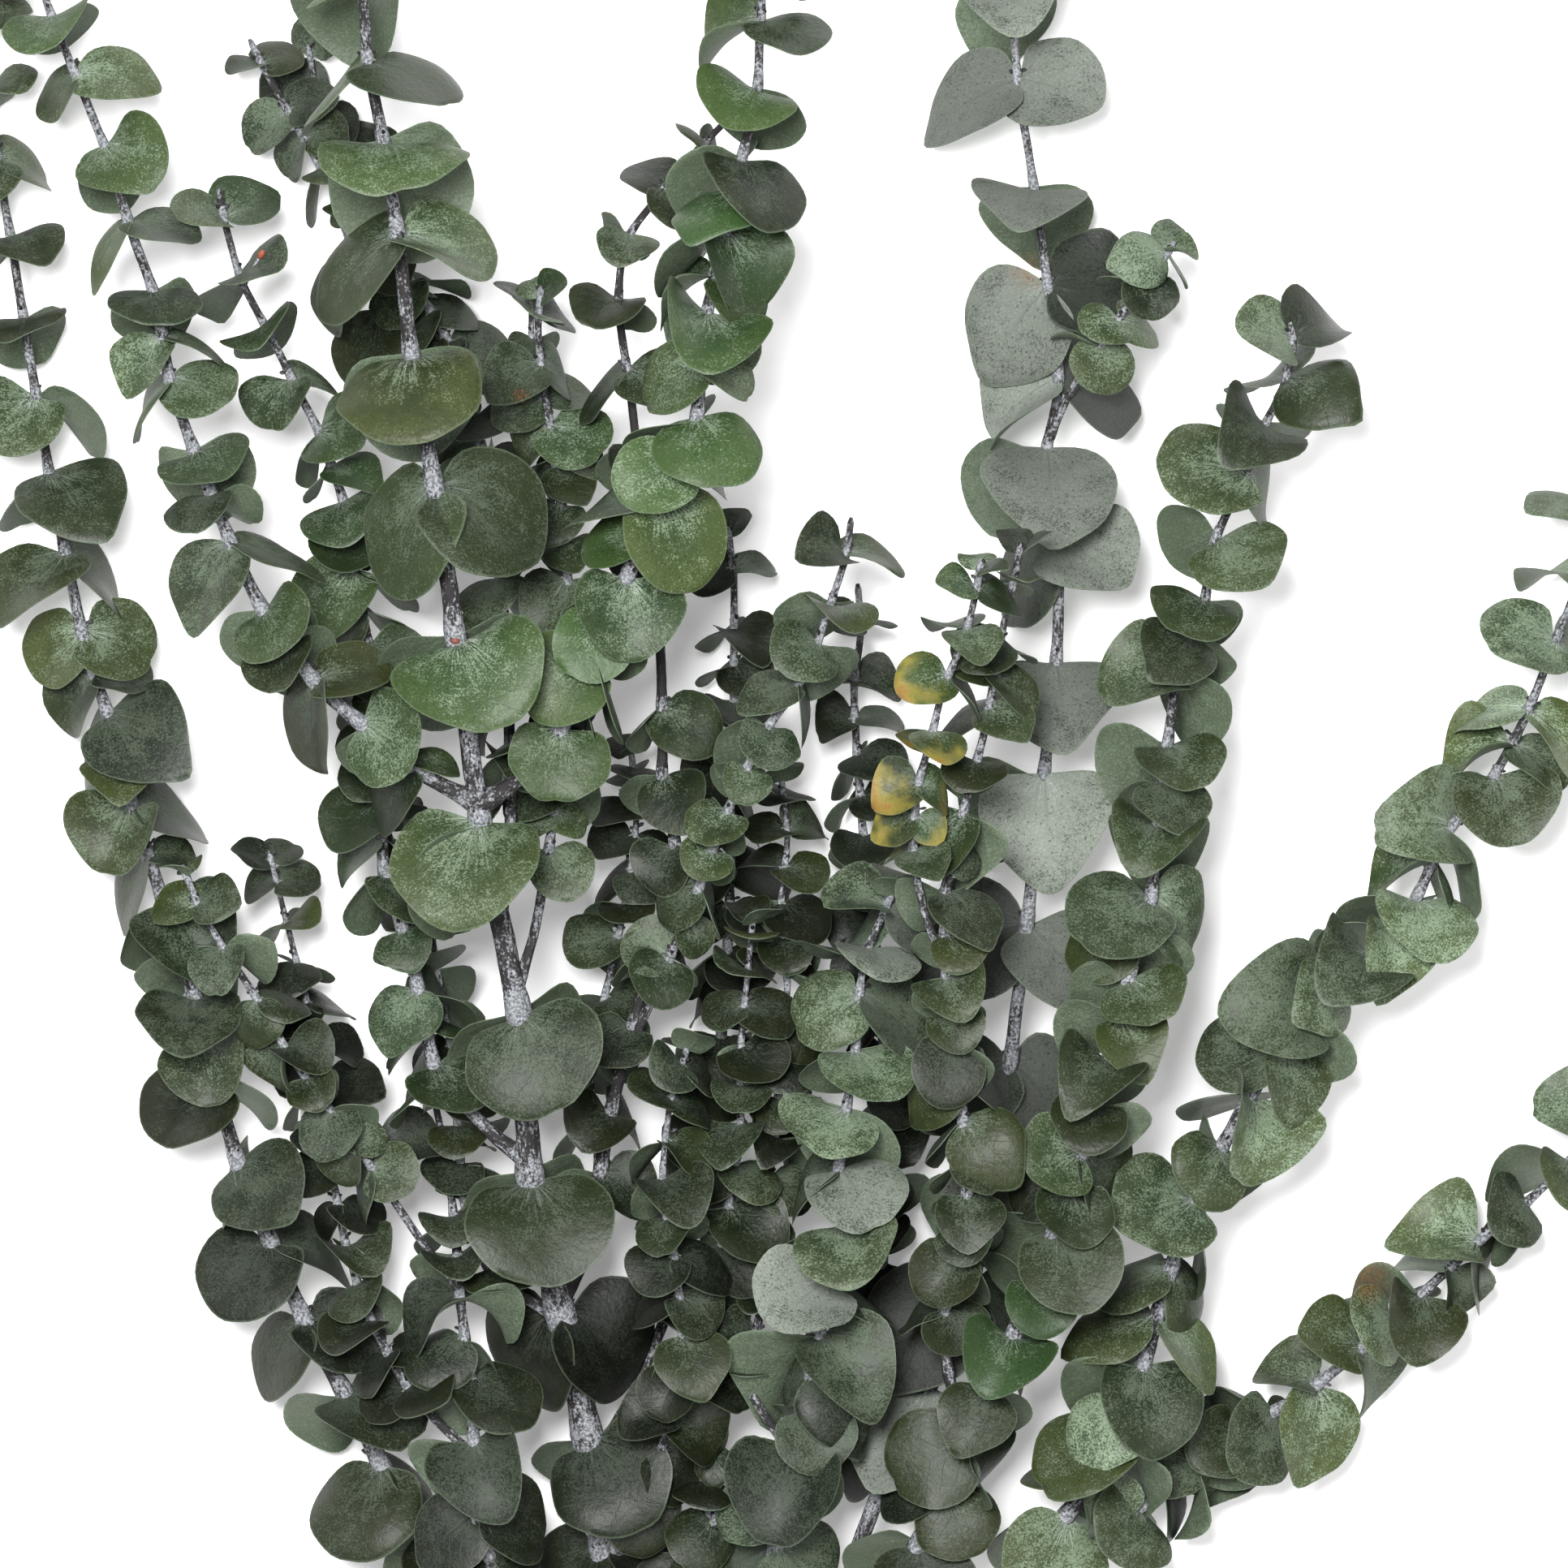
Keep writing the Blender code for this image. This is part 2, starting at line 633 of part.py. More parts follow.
def twin_faces(form):
    """Faces that share all their corners with another one."""
    alike = {}
    for face in form.faces:
        alike.setdefault(frozenset(face.verts), []).append(face)
    return [face for faces in alike.values() if len(faces) > 1 for face in faces]


def clean(mesh):
    """Leave one piece of plain triangles, and say whether it is closed."""
    form = bmesh.new()
    form.from_mesh(mesh)
    bmesh.ops.remove_doubles(form, verts=form.verts, dist=WELD)
    bmesh.ops.delete(form, geom=loose_scraps(form), context="FACES")
    bmesh.ops.dissolve_limit(form, angle_limit=FLAT_ANGLE, verts=form.verts, edges=form.edges)
    bmesh.ops.triangulate(form, faces=form.faces)
    bmesh.ops.delete(form, geom=twin_faces(form), context="FACES")
    closed = all(len(edge.link_faces) == 2 for edge in form.edges)
    form.to_mesh(mesh)
    form.free()
    return closed


def leaf_object(leaf, name, collection):
    corners = leaf.corners()
    mesh = bpy.data.meshes.new(name)
    mesh.from_pydata(corners, [], leaf_faces(len(corners) // 2))
    form = bmesh.new()
    form.from_mesh(mesh)
    bmesh.ops.recalc_face_normals(form, faces=form.faces)
    form.to_mesh(mesh)
    form.free()
    thing = bpy.data.objects.new(name, mesh)
    collection.objects.link(thing)


def leaf_material(shoot):
    material = bpy.data.materials.new(shoot.name)
    material.use_nodes = True
    shader = material.node_tree.nodes["Principled BSDF"]
    shader.inputs["Base Color"].default_value = shoot.colour
    shader.inputs["Roughness"].default_value = LEAF_ROUGHNESS
    shader.inputs["Metallic"].default_value = 0.0
    return material


def build_shoot(shoot, shoots, leaves, collection):
    """One shoot: the stem, seated on its parent's bark, with all its leaves fused to it."""
    stem = stem_object(shoot, collection)
    if shoot.parent:
        cutter = stem_object(shoots[shoot.parent], collection, seat=True)
        stem.data = apply_boolean(stem, "DIFFERENCE", "EXACT", operand=cutter)
        clean(stem.data)
        bpy.data.objects.remove(cutter, do_unlink=True)
    else:
        cut_rest_spot(stem)
    repeats = new_collection("leaves")
    for number, leaf in enumerate(leaves):
        leaf_object(leaf, f"leaf_{number}", repeats)
    for solver in ("EXACT", "MANIFOLD"):
        mesh = apply_boolean(stem, "UNION", solver, collection=repeats)
        if clean(mesh):
            break
    stem.data = mesh
    for thing in list(repeats.objects):
        bpy.data.objects.remove(thing, do_unlink=True)
    bpy.data.collections.remove(repeats)
    mesh.materials.clear()
    mesh.materials.append(leaf_material(shoot))
    return stem


def main():
    clear_scene()
    collection = new_collection(COLLECTION)
    shoots, leaves = grow()
    for shoot in SHOOTS:
        build_shoot(shoot, shoots, leaves[shoot.name], collection)


main()
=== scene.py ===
"""Looks of the eucalyptus branch: a fine stem and fine leaves in the place of each coarse shoot.

Units are metres, with tables in millimetres where they say so. The table of shoots and the rules that
place the leaves are those of the coarse shoots, so each fine leaf stands where its coarse one does.
"""

import json
import math
import random
from dataclasses import dataclass, field, replace

import bmesh
import bpy
import numpy as np
from mathutils import Matrix, Vector
from mathutils.bvhtree import BVHTree

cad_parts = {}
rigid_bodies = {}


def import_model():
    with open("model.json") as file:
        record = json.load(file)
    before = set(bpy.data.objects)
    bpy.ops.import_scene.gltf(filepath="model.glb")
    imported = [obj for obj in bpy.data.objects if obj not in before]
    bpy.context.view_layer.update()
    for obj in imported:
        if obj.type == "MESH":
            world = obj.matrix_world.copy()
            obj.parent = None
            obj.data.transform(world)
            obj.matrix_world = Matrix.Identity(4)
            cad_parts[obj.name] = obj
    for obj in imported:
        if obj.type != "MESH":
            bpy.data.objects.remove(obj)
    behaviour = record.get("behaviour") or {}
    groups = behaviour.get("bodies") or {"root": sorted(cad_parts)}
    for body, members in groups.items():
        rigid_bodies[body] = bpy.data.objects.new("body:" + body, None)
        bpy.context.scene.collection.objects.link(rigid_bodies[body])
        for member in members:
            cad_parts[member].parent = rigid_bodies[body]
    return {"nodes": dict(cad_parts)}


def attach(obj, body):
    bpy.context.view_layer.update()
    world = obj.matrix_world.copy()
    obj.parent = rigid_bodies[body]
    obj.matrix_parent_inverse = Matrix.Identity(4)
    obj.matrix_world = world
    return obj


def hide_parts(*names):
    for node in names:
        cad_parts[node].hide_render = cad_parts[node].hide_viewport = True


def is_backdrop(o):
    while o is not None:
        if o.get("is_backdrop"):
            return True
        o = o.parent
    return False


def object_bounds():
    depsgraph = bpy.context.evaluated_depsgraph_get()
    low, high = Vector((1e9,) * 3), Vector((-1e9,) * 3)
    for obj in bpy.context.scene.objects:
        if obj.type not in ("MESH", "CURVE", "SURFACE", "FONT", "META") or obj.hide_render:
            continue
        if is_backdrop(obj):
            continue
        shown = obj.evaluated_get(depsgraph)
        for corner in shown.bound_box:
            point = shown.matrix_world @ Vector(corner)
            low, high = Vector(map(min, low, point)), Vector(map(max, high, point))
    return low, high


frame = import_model()

MM = 0.001
UP = Vector((0.0, 0.0, 1.0))
WHITE = (1.0, 1.0, 1.0, 1.0)

# The point of the shoots' table, in millimetres, that lies at the origin.
ORIGIN = (5.5, -40.0)

# The main stem's thick end lies on the floor, with its axis this high.
REST_HEIGHT = 4.5 * MM

# Stems.
FORK_DEPTH = 1.8
STEM_SIDES = 4
MAIN_STEM_SIDES = 8
GUARD_SIDES = 6

# Leaves. The young leaves at a tip are smaller, and stand up more.
LEAF_THICKNESS = 0.8 * MM
LEAF_SUNK = 0.5 * MM
LEAF_RISE = 3.0 * MM
LEAF_CLEARANCE = 0.4 * MM
MIDDLE_LEAF = 22 * MM
LARGE_LEAF = 40 * MM
YOUNG_POWER = 6
BROAD_BASE = 0.12
LIGHT_ROLL = math.radians(42)

# Turns of the two leaves of a pair, in degrees.
PAIR_TURNS = (0, 180)

# Ranges of the seeded draws: turn, droop and roll in degrees, then parts of a leaf's usual size.
TURN_SPREAD = 12
DROOP_SPREAD = 12
ROLL_SPREAD = 18
WIDTH_RANGE = (0.90, 1.08)
LENGTH_RANGE = (0.80, 0.96)
FOLD_RANGE = (0.06, 0.34)
CURL_RANGE = (0.02, 0.20)

# Ways to bend a leaf clear: added turn and droop in degrees, and sizes.
BEND_TURNS = (0, 14, -14, 28, -28, 45, -45, 65, -65)
BEND_DROOPS = (0, -14, 14, -28, 24, -45)
BEND_SIZES = (1.0, 0.88, 0.76, 0.62)
BEND_STEP = 14
SIZE_COST = 12
OWN_CLASH_COST = 5
MOST_DROOP = 155
FLOOR_STEP = math.radians(4)

# Seeds of the leaves that have no coarse form and of the looks. A shoot's number is added to each.
EXTRA_SEED = 100
LOOKS_SEED = 500

# Leaves that have no coarse form: their sizes beside the usual one, and how far a leaf may reach.
FALLEN_SIZE = 0.92
BETWEEN_SIZE = 0.80
LEAF_REACH = 45 * MM

# Ways to lay a twig clear: steps up and to the side, in millimetres.
THREAD_LIFTS = (0, 4, -4, 8, -8, 12, 16)
THREAD_SHIFTS = (0, 3, -3, 6, -6, 9, -9)

# Painted shade: a leaf is darker by the depth when this many others are within its reach and higher
# by the rise, and by less when fewer are.
SHADE_LEAVES = 4
SHADE_REACH = 20 * MM
SHADE_RISE = 7 * MM
SHADE_DEPTH = 0.6

# Painted shade: leaves near the heart, where the shoots part, are darker. Its place is in the
# photo's frame, in millimetres.
HEART = (-95, -215)
HEART_REACH = 185
HEART_SHADE_DEPTH = 0.7

# A leaf's own light, and the chance and light of a leaf painted dark, as painted shade where it lies
# deep in shadow.
LIGHT_RANGE = (0.56, 1.24)
SHADED_LEAF_CHANCE = 0.21
SHADED_LEAF_LIGHT = 0.42

# Spreads of a leaf's own bloom, olive and age, how vivid the leaves in the vivid spots are, and how
# much a vivid leaf loses of its bloom.
BLOOM_SPREAD = 0.28
OLIVE_SPREAD = 0.45
AGE_RANGE = (0.8, 1.15)
VIVID_SPOT = 0.85
VIVID_LOSS = 0.8

# Fine leaves: rings and sectors of large and small ones, how the rings crowd to the edge, and the
# lengths from a shoot's tip and foot over which its leaves change in size.
FINE_LEAF = 23 * MM
LARGE_GRID = (7, 36)
SMALL_GRID = (5, 26)
RING_POWER = 0.85
TIP_RUN = (30 * MM, 60 * MM)
FOOT_RUN = (170 * MM, 280 * MM)

# A blade is rolled to lie more level, unless its length stands so steep that this is all that is left
# of the upward direction beside it.
UPRIGHT = 0.25

# A fine blade is this thick in its middle and thinner by a share at its edge, and lies off the floor.
FINE_THICKNESS = 0.62 * MM
EDGE_THINNING = 0.6
FLOOR_CLEAR = 0.05 * MM

# What each point of a leaf is part of.
UPPER_SIDE, LOWER_SIDE, STALK = 0.0, 1.0, 2.0

# The shape of a blade: ripples of its edge, where its base lobes are and how wide, how broad its
# midrib's groove is, and how far up it starts to nod. Then the seeded ranges, in parts of its size:
# lobes, broadness of the base, tip and length for round and pointed ones, and all that bends it.
RAGGED = 0.010
LOBE_ANGLE = 2.4
LOBE_BREADTH = 0.46
CREASE = 0.14
NOD_START = 0.35
ROUND = [(0.06, 0.19), (0.04, 0.16), (-0.06, 0.02), (0.86, 1.06)]
POINTED = [(0.02, 0.08), (0.10, 0.20), (0.06, 0.13), (0.92, 1.0)]
ROUND_TIP_BREADTH = 0.22
POINTED_TIP_BREADTH = 0.42
WAVE_RANGE = (0.006, 0.026)
WAVE_COUNTS = (2, 3, 3, 4)
TWIST_RANGE = (-0.28, 0.28)
HOLLOW_RANGE = (-0.12, 0.18)
NOD_RANGE = (-0.10, 0.25)
BENT_HOLLOWS = (-0.35, 0.4, 0.55)
BENT_NOD_RANGE = (0.1, 0.6)

# Leaf stalks. Those of leaves narrower than STALK_LEAF are thinner.
STALK_RADIUS = 0.8 * MM
STALK_SUNK = 0.9 * MM
STALK_LENGTH = 1.6 * MM
STALK_TAPER = 0.6
STALK_FLATNESS = 0.8
STALK_LEAF = 26 * MM
STALK_RINGS = 3
STALK_SIDES = 6

# Fine stems: the steps along them, a swelling at each node, a collar where a shoot leaves its parent,
# a thin tip, and a rough skin.
STEM_STEP = 2.4 * MM
LEAST_STEPS = 3
STEM_FINE_SIDES = 12
MAIN_FINE_SIDES = 20
CURVE_SHARE = 0.6
NODE_SWELL = 0.28
NODE_REACH = (1.6, 0.6 * MM)
COLLAR_SWELL = 0.55
COLLAR_REACH = 1.3
TIP_TAPER = 0.55
ROUGH_WAVE = 0.035
ROUGH_SPREAD = 0.02
ROUGH_TURN = 300

# Dry bud stubs: their size in millimetres, how they lean to the tip, and each ring's share of the
# length with its girth.
STUB_CHANCE = 0.75
STUB_SIDES = 6
STUB_LENGTH = (1.2, 2.9)
STUB_THICK = (0.42, 0.62)
STUB_LIFT = 1.6 * MM
STUB_SUNK = 0.6 * MM
STUB_OUT = 0.9
STUB_LEAN = (0.1, 0.9)
STUB_RINGS = [(0.0, 1.0), (0.45, 0.8), (0.8, 1.15), (1.0, 0.5)]
STUB_DARK = 0.8
STUB_DRY = 0.9

# Places of the materials in a stem's list of them.
BARK_SLOT, WOOD_SLOT = 0, 1

# Angles above which an edge is drawn sharp.
STEM_SHARP = math.radians(50)
LEAF_SHARP = math.radians(60)

# Colours of leaf skin, bark and wood.
LEAF_DEEP = "1b2915"
LEAF_OLIVE = "3b421d"
LEAF_VIVID = "36522a"
LEAF_YELLOW = "7f7534"
LEAF_ORANGE = "7a4724"
BLOOM_VEIL = "354235"
BLOOM_GRAIN = "778770"
GREY_VEIL = "565c54"
GREY_GRAIN = "8f968c"
STAR_PALE = "a3aca4"
VEIN_DARK = "161e14"
UNDER_SIDE = "4f5a49"
RIB_PALE = "66705f"
BARK_DARK = "171416"
BARK_BROWN = "2c2a29"
BARK_PALE = "5b5f60"
BARK_WHITE = "93949a"
WOOD_PALE = "b9a47c"
WOOD_RING = "8f7549"

# Scales of the noises and cells of leaf skin, bark and wood, per metre.
CLOUD_SCALE = 130.0
RIPE_SCALE = 160.0
WANDER_SCALE = 260.0
RELIEF_SCALE = 420.0
DOT_SCALE = 520.0
MESH_SCALE = 750.0
GRAIN_SCALE = 1600.0
SKIN_SCALE = 240.0
SPECK_SCALE = 1150.0
FIBRE_SCALE = 600.0
PORE_SCALE = 1800.0
BUD_SCALE = 900.0

# How many side veins a leaf has, how they lean and wander, and the edges of them and of the midrib.
LATERAL_COUNT = 4.5
LATERAL_LEAN = 0.5
LATERAL_WANDER = 0.5
LATERAL_EDGES = (0.045, 0.0)
MIDRIB_EDGES = (0.045, 0.010)

# Values between which a pattern goes from nothing to full: the mesh of fine veins, dots, rays and
# grains of bloom, the star at a leaf's base, a greyed leaf, its yellow and orange parts, and its rim.
MESH_EDGES = (0.26, 0.0)
DOT_EDGES = (0.24, 0.12)
RAY_EDGES = (0.44, 0.66)
GRAIN_EDGES = (0.45, 0.66)
STAR_EDGES = (0.16, -0.08)
GREYED_EDGES = (0.75, 0.95)
YELLOW_EDGES = (1.3, 1.8)
ORANGE_EDGES = (1.62, 2.0)
SPOT_EDGES = (0.40, 0.70)
RIM_EDGES = (0.96, 1.0)

# How far each mark hides the leaf's skin.
GRAIN_SHARE = 0.75
STAR_SHARE = 0.85
VEIN_SHARE = 0.26
MESH_SHARE = 0.7
DOT_SHARE = 0.5
UNDER_SHARE = 0.85
YELLOW_SHARE = 0.85
ORANGE_SHARE = 0.8
RIM_SHARE = 0.2
RIDGE_SHARE = 0.15

# Streaks of bloom round a leaf's base: where they start from, how they follow the angle and the way
# out, and how they shift from leaf to leaf.
RAY_FOOT = 0.05
RAY_TURNS = 7.0
RAY_STRETCH = 1.4
RAY_SHIFT = 40.0
RAY_SCALE = 2.4

# What the bloom's thickness goes by, and what its veil over the green goes by.
DUST_RAYS = 0.22
DUST_BASE = 0.12
DUST_CLOUD = 0.5
DUST_BLOOM = 0.26
VEIL_BLOOM = 0.6
VEIL_DUST = 0.8
STAR_RAYS = 0.26

# What the olive of the green and the yellow of an aged leaf go by.
OLIVE_CLOUD = 1.2
OLIVE_EDGE = 0.35
RIPE_TIP = 0.55
RIPE_CLOUD = 0.9
RIPE_AGE = 1.3

# How far bloom, midrib and fine veins show on a leaf's under side.
UNDER_BLOOM = 0.4
UNDER_RIB = 0.6
UNDER_MESH = 0.25

# Bark: scales of the dashes and patches along it, what its pale cover goes by, and how far that hides
# the dark skin.
DASH_STRETCH = 0.28
DASH_SCALE = 1.1
PATCH_STRETCH = (0.5, 0.3)
PATCH_SHIFT = 4.0
PATCH_SCALE = 0.42
COVER_DASHES = 0.62
COVER_SPECKS = 0.38
COVER_PATCHES = 0.55
COVER_DARK = 0.24
COVER_NODE = 0.16
COVER_EDGES = (0.42, 0.60)
COVER_SHARE = 0.92
DRY_SHARE = 0.85

# Heights of the relief on leaf skin, bark and cut wood.
LEAF_RELIEF = 0.25 * MM
BARK_RELIEF = 0.6 * MM
WOOD_RELIEF = 0.2 * MM

# The wave of the growth rings, in radians from the pith to the bark.
RING_WAVE = 26.0

# Places in the photo's frame, in millimetres: x, y and radius.
VIVID_SPOTS = [(66, -158, 15), (56, -210, 11)]
AGED_SPOTS = [(40, 36, 13), (47, 16, 12), (33, 5, 12), (41, -9, 12), (27, -21, 12)]
ORANGE_SPOTS = [(73, 154, 5), (175, -148, 6), (-78, 115, 2)]

# An orange spot fades out at this many of its radii.
SPOT_REACH = 1.4

# Small coloured buds: name, the shoot that carries it, x and y of the bud and of the foot of its stalk
# in the photo's frame, half sizes, colour. All lengths are in millimetres.
BUDS = [
    ("red_bud_tip", "left_shoot", (-155, 157), (-161, 148), (1.0, 1.0, 1.7), "b0532c"),
    ("red_scar", "main_stem", (-96.3, 42), (-96.3, 42), (1.6, 1.1, 0.9), "8f3c22"),
]
BUD_RISE = 7.0 * MM
BUD_STALK = 0.55 * MM
BUD_TAPER = 0.7
BUD_SPAN = 0.9
BUD_SIDES = 12
BUD_RINGS = 8
BUD_STALK_SIDES = 8

# Camera, floor and light.
FRAME_WIDTH = 0.4637
SENSOR_WIDTH = 36.0
CAMERA_RISE = 3.5
CAMERA_REACH = 20.0
MIDDLE_HEIGHT = 0.06
FLOOR_HALF = 3.0
FLOOR_WHITE = "f4f4f4"
FLOOR_GLOW = 0.22
SKY_STRENGTH = 0.55
LAMPS = [
    ("key", (-0.35, 0.45, 2.6), 0.8, 130),
    ("fill", (0.6, -0.9, 1.9), 1.2, 12),
]


def ring_of(centre, side, rise, radius, sides):
    """Points at even turns round a centre, in the plane of side and rise."""
    points = []
    for k in range(sides):
        angle = math.tau * k / sides
        points.append(centre + (side * math.cos(angle) + rise * math.sin(angle)) * radius)
    return points


def tube_faces(rings, sides):
    """Faces between the rings of an open tube."""
    faces = []
    for ring in range(rings - 1):
        low, high = ring * sides, (ring + 1) * sides
        for k in range(sides):
            m = (k + 1) % sides
            faces.append((low + k, low + m, high + m, high + k))
    return faces


def capped_faces(rings, sides):
    """Faces of a tube with both ends closed."""
    first = tuple(range(sides - 1, -1, -1))
    last = tuple(range((rings - 1) * sides, rings * sides))
    return tube_faces(rings, sides) + [first, last]


@dataclass
class Shoot:
    """A stem and its leaf pairs. Lengths are in millimetres and angles in degrees."""

    name: str
    parent: str
    route: list
    heights: tuple
    radii: tuple
    leaf: tuple
    phase: float
    bare: int = 1
    thin: int = 0
    droop: tuple = (128, 48)
    axis: list = field(default_factory=list)
    buried: float = 0.0

    @property
    def sides(self):
        return STEM_SIDES if self.parent else MAIN_STEM_SIDES

    def free_axis(self):
        """The axis from where it comes out of the parent's bark."""
        (start, radius), (ahead, _) = self.axis[:2]
        out = start + (ahead - start).normalized() * self.buried
        return [(out, radius)] + self.axis[1:]

    def solid(self):
        """Points and faces of a tube round the free axis, for telling what comes too near."""
        axis = self.free_axis()
        points = []
        for k, (centre, radius) in enumerate(axis):
            ahead = axis[min(k + 1, len(axis) - 1)][0] - axis[max(k - 1, 0)][0]
            side = ahead.cross(UP).normalized()
            rise = side.cross(ahead).normalized()
            points += ring_of(centre, side, rise, radius, GUARD_SIDES)
        return points, tube_faces(len(axis), GUARD_SIDES)

    def fallen(self, k):
        """Whether the leaf pair of a point has dropped: every thin-th one has."""
        return self.thin > 0 and (k - self.bare) % self.thin == self.thin - 1

    def turns(self):
        """Turn of the leaf pair at each point of the route; bare points take the first pair's."""
        turns = []
        for k, point in enumerate(self.route):
            usual = self.phase
            if k > self.bare:
                usual = turns[-1] + (45 if self.fallen(k) or self.fallen(k - 1) else 90)
            turns.append(point[2] if len(point) > 2 else usual)
        return turns

    def height_share(self, k):
        """0 at the first leaf pair, 1 at the tip's."""
        return (k - self.bare) / (len(self.route) - 1 - self.bare)

    def node_at(self, k):
        """Place, bark radius and growth direction for the leaf pair of a point."""
        point, radius = self.axis[k]
        if k < len(self.route) - 1:
            along = (self.axis[k + 1][0] - point).normalized()
            return point + along * LEAF_RISE, radius, along
        along = (point - self.axis[k - 1][0]).normalized()
        return point - along * LEAF_RISE, radius, along

    def pair_size(self, s):
        """Width and droop of the leaf pair at a part of the way up."""
        young = s ** YOUNG_POWER
        width = (self.leaf[0] + (self.leaf[1] - self.leaf[0]) * young) * MM
        return width, self.droop[0] + (self.droop[1] - self.droop[0]) * young


